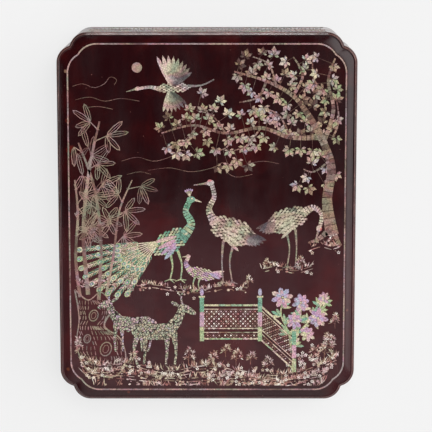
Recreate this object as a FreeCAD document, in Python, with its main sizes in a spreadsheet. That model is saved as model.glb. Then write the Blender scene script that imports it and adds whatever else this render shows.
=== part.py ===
import FreeCAD, Part

import math
import operator
import os
from types import SimpleNamespace

import Sketcher

# Lacquered ink box with double-lobed corners. The base and the lid are frames of four walls and four
# corner blocks. Inside lie a board with a well for the ink stone, and a lift-out tray with the ink
# stick. The origin is at the middle of the plane that the foot stands on. X runs across the box,
# Y along it and Z up. Lengths are in millimetres.

DIMENSIONS = {
    "box_width": 224,
    "box_length": 280,
    "field_height": 66,
    "seam_height": 39,
    "foot_height": 3,
    "foot_inset": 3,
    "foot_width": 8,
    "bottom_thickness": 5,
    "wall_thickness": 8,
    "lid_clearance": 0.3,
    "lid_panel_thickness": 5.5,
    "lobe_start": 23,
    "lobe_radius": 13.45,
    "notch_radius": 1.2,
    "corner_reach": 30,
    "corner_splay": 14,
    "tongue_thickness": 3,
    "tongue_length": 5,
    "board_edge_height": 0.6,
    "shoulder_radius": 2.4,
    "quirk_inset": 2.9,
    "quirk_depth": 0.2,
    "cushion_inset": 5.4,
    "cushion_drop": 0.9,
    "field_inset": 7.9,
    "field_lobe_start": 22.4,
    "field_lobe_radius": 16.4,
    "field_notch_radius": 2.2,
    "string_gap": 0.1,
    "string_width": 1.1,
    "string_lobe_start": 22,
    "string_lobe_radius": 16,
    "string_notch_radius": 2,
    "pearl_thickness": 0.3,
    "side_string_width": 1,
    "side_string_margin": 3,
    "lozenge_pitch": 28,
    "lozenge_length": 18,
    "lozenge_width": 7,
    "pin_width": 2.8,
    "pin_length": 14,
    "pin_offset": 9,
    "lining_thickness": 6,
    "lining_rise": 5,
    "lining_rounding": 1.5,
    "fit_gap": 0.3,
    "board_thickness": 14,
    "board_corner": 6,
    "stone_width": 110,
    "stone_length": 168,
    "stone_height": 24,
    "stone_corner": 7,
    "stone_rim": 8,
    "stone_field_depth": 2,
    "stone_pool_depth": 12,
    "stone_pool_length": 26,
    "stone_slope_length": 34,
    "stone_edge": 1.6,
    "tray_gap": 0.5,
    "tray_bottom": 35,
    "tray_floor_thickness": 3,
    "tray_wall_height": 11,
    "tray_wall_thickness": 4,
    "tray_corner": 3,
    "divider_height": 9,
    "divider_place": 18,
    "cross_divider_place": -52,
    "bearer_width": 6,
    "bearer_height": 6,
    "bearer_length": 200,
    "stick_width": 24,
    "stick_length": 96,
    "stick_thickness": 12,
    "stick_edge": 1.5,
    "stick_border": 2.5,
    "stick_relief": 0.8,
    "stick_place_x": 57,
    "stick_place_y": 36,
    "rest_width": 36,
    "rest_length": 8,
    "rest_height": 8,
    "rest_floor": 3,
    "rest_spacing": 62,
}

SHEET = "Sizes"
OPERATIONS = {"+": operator.add, "-": operator.sub, "*": operator.mul, "/": operator.truediv}

document = FreeCAD.newDocument("ink_box")
exported = []


class Size:
    """A length as a number, and as the words that bind a feature to the sheet."""

    def __init__(self, number, words):
        self.number = number
        self.words = words

    def __add__(self, other):
        return combine(self, "+", other)

    def __radd__(self, other):
        return combine(other, "+", self)

    def __sub__(self, other):
        return combine(self, "-", other)

    def __rsub__(self, other):
        return combine(other, "-", self)

    def __mul__(self, other):
        return combine(self, "*", other)

    def __rmul__(self, other):
        return combine(other, "*", self)

    def __truediv__(self, other):
        return combine(self, "/", other)

    def __neg__(self):
        return combine(0, "-", self)


def as_size(value):
    if isinstance(value, Size):
        return value
    return Size(float(value), str(value))


def combine(left, sign, right):
    left = as_size(left)
    right = as_size(right)
    number = OPERATIONS[sign](left.number, right.number)
    return Size(number, f"({left.words} {sign} {right.words})")


def make_sheet():
    sheet = document.addObject("Spreadsheet::Sheet", SHEET)
    for row, (alias, number) in enumerate(DIMENSIONS.items(), start=1):
        sheet.set(f"A{row}", str(number))
        sheet.setAlias(f"A{row}", alias)
    document.recompute()
    return SimpleNamespace(**{
        alias: Size(float(sheet.get(alias)), f"{SHEET}.{alias}") for alias in DIMENSIONS
    })


def bind(item, path, value):
    item.setExpression(path, as_size(value).words)


def keep(item, node):
    """Name a finished sub-part; its label names its file."""
    item.Label = node
    exported.append(item)
    return item


# Sketches ------------------------------------------------------------------------------------------

def new_body(name):
    return document.addObject("PartDesign::Body", name)


def new_sketch(body, name, height=0, plane="XY_Plane"):
    sketch = body.newObject("Sketcher::SketchObject", name)
    origin_plane = next(item for item in body.Origin.OriginFeatures if item.Role == plane)
    sketch.AttachmentSupport = [(origin_plane, "")]
    sketch.MapMode = "FlatFace"
    bind(sketch, "AttachmentOffset.Base.z", height)
    return sketch


def dimension(sketch, kind, where, value):
    value = as_size(value)
    index = sketch.addConstraint(Sketcher.Constraint(kind, *where, value.number))
    sketch.setExpression(f"Constraints[{index}]", value.words)


def point(x, y):
    return FreeCAD.Vector(as_size(x).number, as_size(y).number, 0)


def add_polygon(sketch, corners):
    """Closed polygon through the corners, each placed by its two coordinates."""
    lines = []
    for start, end in zip(corners, corners[1:] + corners[:1]):
        lines.append(sketch.addGeometry(Part.LineSegment(point(*start), point(*end))))
    for line, following in zip(lines, lines[1:] + lines[:1]):
        sketch.addConstraint(Sketcher.Constraint("Coincident", line, 2, following, 1))
    for line, (x, y) in zip(lines, corners):
        dimension(sketch, "DistanceX", (line, 1), x)
        dimension(sketch, "DistanceY", (line, 1), y)


def add_rectangle(sketch, left, right, front, back):
    add_polygon(sketch, [(left, front), (right, front), (right, back), (left, back)])


def add_splayed_rectangle(sketch, half_width, half_length, splay):
    """Rectangle with its corners cut straight across."""
    corners = []
    for quarter, (sign_x, sign_y) in enumerate([(1, 1), (-1, 1), (-1, -1), (1, -1)]):
        cut = [
            (sign_x * half_width, sign_y * (half_length - splay)),
            (sign_x * (half_width - splay), sign_y * half_length),
        ]
        corners += cut[::-1] if quarter % 2 else cut
    add_polygon(sketch, corners)


def add_arc(sketch, x, y, radius, start, end):
    circle = Part.Circle(FreeCAD.Vector(x, y, 0), FreeCAD.Vector(0, 0, 1), radius)
    return sketch.addGeometry(Part.ArcOfCircle(circle, math.radians(start), math.radians(end)))


def add_sides(sketch, half_width, half_length, start, corner, ends_held=True):
    """Closed smooth outline: four straight sides, each followed by the arcs of its corner.

    Each side stops a start distance short of the corner of its rectangle. The corner function gets
    the quarter and the two signs and gives its arcs in order, each with its first and last point.
    A single arc's radius already places the ends of the sides, which then need no dimension.
    """
    width = half_width.number
    length = half_length.number
    chain = []
    for quarter, (sign_x, sign_y) in enumerate([(1, 1), (-1, 1), (-1, -1), (1, -1)]):
        across = quarter % 2
        level, ends = (half_length, half_width) if across else (half_width, half_length)
        run = sign_x if across else sign_y
        side = sign_y if across else sign_x
        stop = (ends - start).number
        first, last = (-run * stop, run * stop)
        if across:
            ends_of_line = point(first, side * length), point(last, side * length)
        else:
            ends_of_line = point(side * width, first), point(side * width, last)
        line = sketch.addGeometry(Part.LineSegment(*ends_of_line))
        sketch.addConstraint(Sketcher.Constraint("Horizontal" if across else "Vertical", line))
        dimension(sketch, "DistanceY" if across else "DistanceX", (line, 1), side * level)
        if ends_held:
            along = "DistanceX" if across else "DistanceY"
            dimension(sketch, along, (line, 1), -run * (ends - start))
            dimension(sketch, along, (line, 2), run * (ends - start))
        chain += [(line, 1, 2)] + corner(quarter, sign_x, sign_y)
    for (item, _, last), (following, first, _) in zip(chain, chain[1:] + chain[:1]):
        sketch.addConstraint(Sketcher.Constraint("Tangent", item, last, following, first))


def add_rounded_rectangle(sketch, half_width, half_length, radius):
    reach = as_size(radius).number

    def corner(quarter, sign_x, sign_y):
        arc = add_arc(
            sketch, sign_x * (half_width.number - reach), sign_y * (half_length.number - reach), reach,
            90 * quarter, 90 * quarter + 90,
        )
        dimension(sketch, "Radius", (arc,), radius)
        return [(arc, 1, 2)]

    add_sides(sketch, half_width, half_length, radius, corner, ends_held=False)


def add_lobed_outline(sketch, half_width, half_length, start, radius, notch):
    """Rectangle whose corners are two round lobes that meet at a small softened notch."""
    width = half_width.number
    length = half_length.number
    reach = as_size(start).number
    lobe = as_size(radius).number
    soft = as_size(notch).number
    total = reach + lobe
    root = math.sqrt(total**2 - 2 * (reach**2 + lobe**2 - (lobe + soft) ** 2))
    dip = (total - root) / 2
    sweep = math.degrees(math.atan2(reach - dip, lobe - dip))

    def corner(quarter, sign_x, sign_y):
        turn = 90 * quarter
        beside = (sign_x * (width - lobe), sign_y * (length - reach))
        above = (sign_x * (width - reach), sign_y * (length - lobe))
        before, after = (above, beside) if quarter % 2 else (beside, above)
        first_lobe = add_arc(sketch, *before, lobe, turn, turn + sweep)
        hollow = add_arc(
            sketch, sign_x * (width - dip), sign_y * (length - dip), soft,
            turn + 270 - sweep, turn + 180 + sweep,
        )
        second_lobe = add_arc(sketch, *after, lobe, turn + 90 - sweep, turn + 90)
        dimension(sketch, "Radius", (first_lobe,), radius)
        dimension(sketch, "Radius", (second_lobe,), radius)
        dimension(sketch, "Radius", (hollow,), notch)
        return [(first_lobe, 1, 2), (hollow, 2, 1), (second_lobe, 1, 2)]

    add_sides(sketch, half_width, half_length, start, corner)


def lobed_sketch(body, name, height, inset=0, start=None, radius=None, notch=None):
    """Outline of the box moved in by an inset; with no shape of its own it runs parallel to the wall."""
    sketch = new_sketch(body, name, height)
    add_lobed_outline(
        sketch, size.box_width / 2 - inset, size.box_length / 2 - inset,
        size.lobe_start - inset if start is None else start,
        size.lobe_radius - inset if radius is None else radius,
        size.notch_radius + inset if notch is None else notch,
    )
    return sketch


# Features ------------------------------------------------------------------------------------------

def pad(body, sketch, height, name="pad"):
    feature = body.newObject("PartDesign::Pad", name)
    feature.Profile = sketch
    bind(feature, "Length", height)
    return feature


def pocket(body, sketch, depth, name="pocket", upwards=False, both_ways=False):
    feature = body.newObject("PartDesign::Pocket", name)
    feature.Profile = sketch
    bind(feature, "Length", depth)
    feature.Reversed = upwards
    feature.Midplane = both_ways
    return feature


def ruled_loft(body, sketches, name="loft"):
    feature = body.newObject("PartDesign::AdditiveLoft", name)
    feature.Profile = sketches[0]
    feature.Sections = sketches[1:]
    feature.Ruled = True
    return feature


def dress_edges(kind, path, body, base, amount, wanted, name):
    """Dress the edges of the last feature that the test picks."""
    document.recompute()
    edges = [f"Edge{number}" for number, edge in enumerate(base.Shape.Edges, start=1) if wanted(edge)]
    feature = body.newObject(f"PartDesign::{kind}", name)
    feature.Base = (base, edges)
    bind(feature, path, amount)
    return feature


def round_edges(body, base, radius, wanted, name):
    return dress_edges("Fillet", "Radius", body, base, radius, wanted, name)


def break_edges(body, base, width, wanted, name):
    return dress_edges("Chamfer", "Size", body, base, width, wanted, name)


def lies_at(height):
    return lambda edge: all(abs(vertex.Z - height.number) < 1e-4 for vertex in edge.Vertexes)


def upright(edge):
    ends = [vertex.Point for vertex in edge.Vertexes]
    return len(ends) == 2 and abs(ends[0].x - ends[1].x) + abs(ends[0].y - ends[1].y) < 1e-6


def box(name, left, right, front, back, bottom, top):
    """Block between six planes."""
    item = document.addObject("Part::Box", name)
    for path, value in (
        ("Length", right - left), ("Width", back - front), ("Height", top - bottom),
        ("Placement.Base.x", left), ("Placement.Base.y", front), ("Placement.Base.z", bottom),
    ):
        bind(item, path, value)
    return item


def combined(kind, name, base, tool):
    item = document.addObject(f"Part::{kind}", name)
    item.Base = base
    item.Tool = tool
    return item


def compound(name, items):
    group = document.addObject("Part::Compound", name)
    group.Links = items
    return group


# Base and lid --------------------------------------------------------------------------------------

SIDES = {"left": (-1, 0), "right": (1, 0), "front": (0, -1), "back": (0, 1)}
CORNERS = {
    "front_left": (-1, -1), "front_right": (1, -1), "back_right": (1, 1), "back_left": (-1, 1),
}


def spread(sign, near, far):
    """Lower and upper plane of a stretch that lies between two distances on one side."""
    return (near, far) if sign > 0 else (-far, -near)


def frame_ring(name, bottom, top, thickness):
    """The whole wall between two heights, before it is parted into walls and corner blocks."""
    body = new_body(f"{name}_ring")
    outside = lobed_sketch(body, f"{name}_outside", bottom)
    pad(body, outside, top - bottom, f"{name}_pad")
    inside = new_sketch(body, f"{name}_inside", top)
    add_splayed_rectangle(
        inside, size.box_width / 2 - thickness, size.box_length / 2 - thickness, size.corner_splay,
    )
    pocket(body, inside, top - bottom, f"{name}_hollow")
    return body


def build_tongues(name, bottom, top):
    """Glued tongues at both ends of each wall, keyed by the wall and the corner that they join."""
    tongues = {}
    middle = size.wall_thickness / 2
    half = size.tongue_thickness / 2
    for side, (sign_x, sign_y) in SIDES.items():
        for corner, (corner_x, corner_y) in CORNERS.items():
            if sign_x == corner_x:
                line = size.box_width / 2 - middle
                end = size.box_length / 2 - size.corner_reach
                across = spread(sign_x, line - half, line + half)
                along = spread(corner_y, end, end + size.tongue_length)
            elif sign_y == corner_y:
                line = size.box_length / 2 - middle
                end = size.box_width / 2 - size.corner_reach
                across = spread(corner_x, end, end + size.tongue_length)
                along = spread(sign_y, line - half, line + half)
            else:
                continue
            tongues[side, corner] = box(f"{name}_tongue_{side}_{corner}", *across, *along, bottom, top)
    return tongues


def build_frame(name, bottom, top, thickness, pins=None):
    """Four walls with tongues, and four corner blocks with the lobes, grooves and pin holes."""
    ring = frame_ring(name, bottom, top, thickness)
    tongues = build_tongues(name, bottom, top)
    far_x = size.box_width / 2
    far_y = size.box_length / 2
    near_x = far_x - size.corner_reach
    near_y = far_y - size.corner_reach
    for side, (sign_x, sign_y) in SIDES.items():
        across = spread(sign_x, near_x, far_x) if sign_x else (-near_x, near_x)
        along = spread(sign_y, near_y, far_y) if sign_y else (-near_y, near_y)
        stretch = box(f"{name}_stretch_{side}", *across, *along, bottom, top)
        plain = combined("Common", f"{name}_plain_{side}", ring, stretch)
        own = [tongue for (wall, _), tongue in tongues.items() if wall == side]
        wall = document.addObject("Part::MultiFuse", f"{name}_wall_{side}_joined")
        wall.Shapes = [plain] + own
        keep(wall, f"{name}_wall_{side}")
    for corner, (sign_x, sign_y) in CORNERS.items():
        stretch = box(
            f"{name}_stretch_{corner}", *spread(sign_x, near_x, far_x), *spread(sign_y, near_y, far_y),
            bottom, top,
        )
        plain = combined("Common", f"{name}_plain_{corner}", ring, stretch)
        own = [tongue for (_, block), tongue in tongues.items() if block == corner]
        grooves = compound(f"{name}_grooves_{corner}", own + ([pins] if pins else []))
        keep(combined("Cut", f"{name}_corner_{corner}_cut", plain, grooves), f"{name}_corner_{corner}")


def build_pins():
    """Square bamboo pins, two in each corner block, driven up through the bottom."""
    pins = []
    half = size.pin_width / 2
    middle_x = size.box_width / 2 - size.wall_thickness / 2
    middle_y = size.box_length / 2 - size.wall_thickness / 2
    back_x = size.box_width / 2 - size.corner_reach + size.pin_offset
    back_y = size.box_length / 2 - size.corner_reach + size.pin_offset
    for corner, (sign_x, sign_y) in CORNERS.items():
        for number, (x, y) in enumerate([(middle_x, back_y), (back_x, middle_y)]):
            pins.append(box(
                f"pin_{corner}_{number}", sign_x * x - half, sign_x * x + half,
                sign_y * y - half, sign_y * y + half,
                size.foot_height, size.foot_height + size.pin_length,
            ))
    return keep(compound("pins", pins), "bottom_pins")


def build_foot():
    body = new_body("foot")
    pad(body, lobed_sketch(body, "foot_outside", 0, size.foot_inset), size.foot_height, "foot_pad")
    inner = size.foot_inset + size.foot_width
    inside = new_sketch(body, "foot_inside", size.foot_height)
    add_splayed_rectangle(
        inside, size.box_width / 2 - inner, size.box_length / 2 - inner,
        size.corner_splay - size.foot_inset,
    )
    pocket(body, inside, size.foot_height, "foot_hollow")
    keep(body, "foot_rim")


def build_bottom(pins):
    body = new_body("bottom")
    outline = lobed_sketch(body, "bottom_outline", size.foot_height)
    pad(body, outline, size.bottom_thickness, "bottom_pad")
    keep(combined("Cut", "bottom_drilled", body, pins), "base_bottom_panel")


def build_linings():
    """Lining boards glued inside the base walls; their top edge rises past the seam and holds the lid."""
    bottom = size.foot_height + size.bottom_thickness
    top = size.seam_height + size.lining_rise
    outer_x = size.box_width / 2 - size.wall_thickness
    outer_y = size.box_length / 2 - size.wall_thickness
    end_x = size.box_width / 2 - size.corner_reach - 2
    end_y = size.box_length / 2 - size.corner_reach - 2
    for side, (sign_x, sign_y) in SIDES.items():
        across = spread(sign_x, outer_x - size.lining_thickness, outer_x) if sign_x else (-end_x, end_x)
        along = spread(sign_y, outer_y - size.lining_thickness, outer_y) if sign_y else (-end_y, end_y)
        body = new_body(f"lining_{side}_body")
        sketch = new_sketch(body, f"lining_{side}_outline", bottom)
        add_rectangle(sketch, *across, *along)
        board = pad(body, sketch, top - bottom, f"lining_{side}_pad")
        round_edges(body, board, size.lining_rounding, lies_at(top), f"lining_{side}_rounding")
        keep(body, f"base_lining_{side}")


def build_bearers():
    inner = size.box_width / 2 - size.wall_thickness - size.lining_thickness
    top = size.tray_bottom
    half = size.bearer_length / 2
    for side, sign in (("left", -1), ("right", 1)):
        across = spread(sign, inner - size.bearer_width, inner)
        strip = box(f"bearer_{side}", *across, -half, half, top - size.bearer_height, top)
        keep(strip, f"tray_bearer_{side}")


SHOULDER_ANGLES = (0, 45, 90)


def build_lid_panel():
    """Lid board: round shoulder, thin quirk, cushioned margin that rises to the flat field."""
    body = new_body("lid_panel")
    bottom = size.field_height - size.lid_panel_thickness
    shoulder_start = bottom + size.board_edge_height
    outline = lobed_sketch(body, "lid_outline", bottom)
    pad(body, outline, size.board_edge_height, "lid_board")
    sections = []
    for angle in SHOULDER_ANGLES:
        inset = size.shoulder_radius * round(1 - math.cos(math.radians(angle)), 4)
        rise = size.shoulder_radius * round(math.sin(math.radians(angle)), 4)
        sections.append(lobed_sketch(body, f"shoulder_{angle}", shoulder_start + rise, inset))
    shoulder_top = shoulder_start + size.shoulder_radius
    sections.append(lobed_sketch(body, "quirk", shoulder_top - size.quirk_depth, size.quirk_inset))
    field_shape = (size.field_lobe_start, size.field_lobe_radius, size.field_notch_radius)
    cushion_shape = [
        (size.lobe_start - size.cushion_inset + field_shape[0]) / 2,
        (size.lobe_radius - size.cushion_inset + field_shape[1]) / 2,
        (size.notch_radius + size.cushion_inset + field_shape[2]) / 2,
    ]
    sections.append(lobed_sketch(
        body, "cushion", size.field_height - size.cushion_drop, size.cushion_inset, *cushion_shape,
    ))
    sections.append(lobed_sketch(body, "field", size.field_height, size.field_inset, *field_shape))
    ruled_loft(body, sections, "lid_moulding")
    keep(body, "lid_top_panel")


def build_border_string():
    """Pearl string laid round the field, with two parallel outlines a string's width apart."""
    body = new_body("border_string")
    sketch = new_sketch(body, "string_outline", size.field_height)
    for side in (0, 1):
        inset = size.field_inset + size.string_gap + side * size.string_width
        add_lobed_outline(
            sketch, size.box_width / 2 - inset, size.box_length / 2 - inset,
            size.string_lobe_start - side * size.string_width,
            size.string_lobe_radius - side * size.string_width,
            size.string_notch_radius + side * size.string_width,
        )
    pad(body, sketch, size.pearl_thickness, "string_pad")
    keep(body, "inlay_border_string")


# Inside the box ------------------------------------------------------------------------------------

def build_stone_board():
    """Board that fills the bottom of the box, with a well that the ink stone drops into."""
    body = new_body("stone_board")
    bottom = size.foot_height + size.bottom_thickness
    margin = size.wall_thickness + size.lining_thickness + size.fit_gap
    outline = new_sketch(body, "board_outline", bottom)
    add_rounded_rectangle(
        outline, size.box_width / 2 - margin, size.box_length / 2 - margin, size.board_corner,
    )
    pad(body, outline, size.board_thickness, "board_pad")
    well = new_sketch(body, "well_outline", bottom + size.board_thickness)
    add_rounded_rectangle(
        well, size.stone_width / 2 + size.fit_gap, size.stone_length / 2 + size.fit_gap,
        size.stone_corner + size.fit_gap,
    )
    pocket(body, well, size.board_thickness, "stone_well")
    keep(body, "stone_board")


def build_ink_stone():
    """Slab with a grinding field that slopes down into the ink pool at its far end."""
    body = new_body("stone")
    bottom = size.foot_height + size.bottom_thickness
    top = bottom + size.stone_height
    outline = new_sketch(body, "stone_outline", bottom)
    add_rounded_rectangle(outline, size.stone_width / 2, size.stone_length / 2, size.stone_corner)
    pad(body, outline, size.stone_height, "stone_slab")
    far = size.stone_length / 2 - size.stone_rim
    pool_start = far - size.stone_pool_length
    field = top - size.stone_field_depth
    pool = top - size.stone_pool_depth
    profile = new_sketch(body, "field_and_pool_profile", 0, "YZ_Plane")
    add_polygon(profile, [
        (-far, top), (-far, field), (pool_start - size.stone_slope_length, field), (pool_start, pool),
        (far, pool), (far, top),
    ])
    recess = pocket(
        body, profile, size.stone_width - 2 * size.stone_rim, "field_and_pool", both_ways=True,
    )
    inner = (size.stone_width / 2 - size.stone_rim).number

    def recess_corner(edge):
        return upright(edge) and abs(abs(edge.Vertexes[0].X) - inner) < 1e-4 and edge.Length > 1

    corners = round_edges(body, recess, size.stone_corner, recess_corner, "recess_corners")
    break_edges(body, corners, size.stone_edge, lies_at(top), "stone_top_edges")
    keep(body, "ink_stone")


def tray_bar(name, left, right, front, back, top, rounded=None):
    """Straight tray wall or divider on the tray floor, with a softened top edge."""
    bottom = size.tray_bottom + size.tray_floor_thickness
    body = new_body(f"{name}_body")
    sketch = new_sketch(body, f"{name}_outline", bottom)
    add_rectangle(sketch, left, right, front, back)
    bar = pad(body, sketch, top - bottom, f"{name}_pad")
    if rounded:
        bar = round_edges(body, bar, size.tray_corner, rounded, f"{name}_corners")
    break_edges(body, bar, size.tray_wall_thickness / 5, lies_at(top), f"{name}_top_edges")
    keep(body, name)


def build_tray():
    margin = size.wall_thickness + size.lining_thickness + size.tray_gap
    outer_x = size.box_width / 2 - margin
    outer_y = size.box_length / 2 - margin
    inner_x = outer_x - size.tray_wall_thickness
    inner_y = outer_y - size.tray_wall_thickness
    top = size.tray_bottom + size.tray_floor_thickness + size.tray_wall_height
    divider_top = size.tray_bottom + size.tray_floor_thickness + size.divider_height
    floor = new_body("tray_floor_body")
    outline = new_sketch(floor, "tray_floor_outline", size.tray_bottom)
    add_rounded_rectangle(outline, outer_x, outer_y, size.tray_corner)
    pad(floor, outline, size.tray_floor_thickness, "tray_floor_pad")
    keep(floor, "tray_floor")
    for side, sign in (("front", -1), ("back", 1)):
        face = (sign * outer_y).number

        def outer_corner(edge, face=face):
            return upright(edge) and abs(edge.Vertexes[0].Y - face) < 1e-4

        along = spread(sign, inner_y, outer_y)
        tray_bar(f"tray_wall_{side}", -outer_x, outer_x, *along, top, rounded=outer_corner)
    for side, sign in (("left", -1), ("right", 1)):
        tray_bar(f"tray_wall_{side}", *spread(sign, inner_x, outer_x), -inner_y, inner_y, top)
    half = size.tray_wall_thickness / 2
    middle = size.divider_place
    across = size.cross_divider_place
    tray_bar("tray_long_divider", middle - half, middle + half, -inner_y, inner_y, divider_top)
    tray_bar("tray_cross_divider", middle + half, inner_x, across - half, across + half, divider_top)


def build_ink_stick():
    """Moulded stick of ink with a raised border round a plain sunk panel."""
    bottom = size.tray_bottom + size.tray_floor_thickness + size.rest_floor
    top = bottom + size.stick_thickness
    x = size.stick_place_x
    y = size.stick_place_y
    half_width = size.stick_width / 2
    half_length = size.stick_length / 2
    body = new_body("stick")
    outline = new_sketch(body, "stick_outline", bottom)
    add_rectangle(outline, x - half_width, x + half_width, y - half_length, y + half_length)
    block = pad(body, outline, size.stick_thickness, "stick_block")
    break_edges(body, block, size.stick_edge, lambda edge: True, "stick_edges")
    panel = new_sketch(body, "panel_outline", top)
    border = size.stick_edge + size.stick_border
    add_rectangle(
        panel, x - half_width + border, x + half_width - border,
        y - half_length + border, y + half_length - border,
    )
    pocket(body, panel, size.stick_relief, "sunk_panel")
    keep(body, "ink_stick")


def build_stick_rests():
    """Two notched blocks that hold the stick off the tray floor."""
    bottom = size.tray_bottom + size.tray_floor_thickness
    x = size.stick_place_x
    half_length = size.rest_length / 2
    half_notch = size.stick_width / 2 + size.fit_gap
    rests = []
    for number, sign in enumerate((-1, 1)):
        y = size.stick_place_y + sign * size.rest_spacing / 2
        front, back = y - half_length, y + half_length
        block = box(
            f"rest_block_{number}", x - size.rest_width / 2, x + size.rest_width / 2, front, back,
            bottom, bottom + size.rest_height,
        )
        notch = box(
            f"rest_notch_{number}", x - half_notch, x + half_notch, front, back,
            bottom + size.rest_floor, bottom + size.rest_height,
        )
        rests.append(combined("Cut", f"rest_{number}", block, notch))
    keep(compound("rests", rests), "stick_rests")


# Pearl inlay ---------------------------------------------------------------------------------------
# Garden picture of thin plates that lie on the lid's field. Each plate is drawn as a flat face, and
# what an earlier plate covers is cut from the later ones, so that the plates lie side by side.

def at(x, y):
    return FreeCAD.Vector(x, y, 0)


def heading(angle):
    return at(math.cos(math.radians(angle)), math.sin(math.radians(angle)))


def beyond(place, angle, distance):
    step = heading(angle) * distance
    return place[0] + step.x, place[1] + step.y


def polygon(points):
    corners = [at(*place) for place in points]
    return Part.Face(Part.makePolygon(corners + corners[:1]))


def rounded(points, steps=2):
    """Points on a smooth closed curve through the given ones."""
    count = len(points)
    curve = []
    for number in range(count):
        before, start, end, after = [points[(number + shift) % count] for shift in (-1, 0, 1, 2)]
        for step in range(steps):
            share = step / steps
            curve.append(tuple(
                0.5 * (2 * b + (c - a) * share + (2 * a - 5 * b + 4 * c - d) * share**2
                       + (3 * b - a - 3 * c + d) * share**3)
                for a, b, c, d in zip(before, start, end, after)
            ))
    return curve


def stroke(points, widths):
    """Tapered stroke along a path, with its width given at each point."""
    left = []
    right = []
    for number, ((x, y), width) in enumerate(zip(points, widths)):
        before = points[max(number - 1, 0)]
        after = points[min(number + 1, len(points) - 1)]
        turn = math.degrees(math.atan2(after[1] - before[1], after[0] - before[0]))
        left.append(beyond((x, y), turn + 90, width / 2))
        right.append(beyond((x, y), turn - 90, width / 2))
    return polygon(left + right[::-1])


def bar(start, end, width):
    return stroke([start, end], [width, width])


def blade(foot, angle, length, width):
    """Pointed leaf or feather."""
    middle = beyond(foot, angle, 0.4 * length)
    return polygon([
        foot, beyond(middle, angle - 90, width / 2), beyond(foot, angle, length),
        beyond(middle, angle + 90, width / 2),
    ])


def lobed(centre, radius, lobes, turn=0, valley=0.55):
    """Leaf or blossom with pointed lobes all round."""
    points = []
    for number in range(2 * lobes):
        reach = radius if number % 2 == 0 else valley * radius
        points.append(beyond(centre, turn + 180 * number / lobes, reach))
    return polygon(points)


def round_plate(centre, radius, corners=8):
    return polygon([beyond(centre, 360 * number / corners, radius) for number in range(corners)])


def along_path(points, share):
    """Place at a share of a path's length, and the path's direction there."""
    spans = [math.dist(before, after) for before, after in zip(points, points[1:])]
    rest = share * sum(spans)
    for before, after, span in zip(points, points[1:], spans):
        if rest <= span:
            break
        rest -= span
    turn = math.degrees(math.atan2(after[1] - before[1], after[0] - before[0]))
    return beyond(before, turn, min(rest, span)), turn


def placed(faces, x, y, scale=1, facing=1, turn=0):
    """Motif drawn about its own foot, set in its place; facing -1 turns it to the left."""
    moved = []
    for face in faces:
        corners = [vertex.Point for vertex in face.OuterWire.OrderedVertexes]
        turned = [FreeCAD.Rotation(turn, 0, 0).multVec(at(scale * facing * corner.x, scale * corner.y))
                  for corner in corners]
        moved.append(polygon([(corner.x + x, corner.y + y) for corner in turned]))
    return moved


LIMBS = [
    ([(94, -12), (90, 14), (93, 38), (87, 58), (76, 78)], [10, 7.5, 6.5, 5.5, 4.5]),
    ([(76, 78), (64, 93), (44, 104), (20, 111)], [4.4, 3.2, 2.2, 1.2]),
    ([(85, 62), (62, 62), (40, 69), (14, 65), (-10, 71), (-34, 65)], [4, 3.2, 2.6, 2, 1.6, 1]),
    ([(87, 58), (94, 82), (90, 104), (95, 121)], [3.6, 2.8, 2, 1.2]),
    ([(64, 93), (71, 108), (64, 122)], [2.4, 1.8, 1]),
    ([(44, 104), (38, 92), (24, 88)], [1.8, 1.4, 0.9]),
]
ROOTS = [
    ([(92, -8), (84, -15), (76, -18)], [5, 3, 1]),
    ([(95, -8), (98, -16), (101, -20)], [4, 3, 1.4]),
]
EXTRA_LEAVES = [(50, 119), (6, 117), (80, 94), (54, 82)]
LEAF_TURN = 137.5
LEAF_RADIUS = 6.6
LEAF_SPACING = 14
LEAF_STALK = 6
FIELD_EDGE = 101
FIELD_END = 129
FIELD_CORNER = 212


def inside_border(place, reach):
    """The place, or the nearest one where something of that reach stays clear of the border string."""
    x = max(reach - FIELD_EDGE, min(FIELD_EDGE - reach, place[0]))
    y = max(reach - FIELD_END, min(FIELD_END - reach, place[1]))
    over = max(0, abs(x) + abs(y) + reach - FIELD_CORNER) / 2
    return x - math.copysign(over, x), y - math.copysign(over, y)


def draw_leaves():
    """Lobed leaves along both sides of each limb."""
    places = []
    for path, _ in LIMBS[1:]:
        length = sum(math.dist(before, after) for before, after in zip(path, path[1:]))
        count = round(length / LEAF_SPACING)
        for step in range(count):
            place, direction = along_path(path, (step + 0.6) / count)
            places.append(beyond(place, direction + (90 if step % 2 else -90), LEAF_STALK))
    return [
        lobed(inside_border(place, LEAF_RADIUS), LEAF_RADIUS, 5, LEAF_TURN * number)
        for number, place in enumerate(places + EXTRA_LEAVES)
    ]


def draw_moon_and_clouds():
    clouds = [
        ([(-99, 92), (-86, 95), (-72, 91), (-54, 94)], [0.5, 1.2, 1.2, 0.5]),
        ([(-92, 86), (-78, 88), (-62, 84), (-47, 86)], [0.5, 1, 1, 0.5]),
        ([(-62, 44), (-44, 47), (-26, 43), (-8, 46), (6, 43)], [0.5, 1.1, 1.1, 1.1, 0.5]),
        ([(-40, 37), (-24, 39), (-6, 36), (12, 38)], [0.5, 1, 1, 0.5]),
    ]
    return [round_plate((-70, 107), 5, 16)] + [stroke(*cloud) for cloud in clouds]


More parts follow.
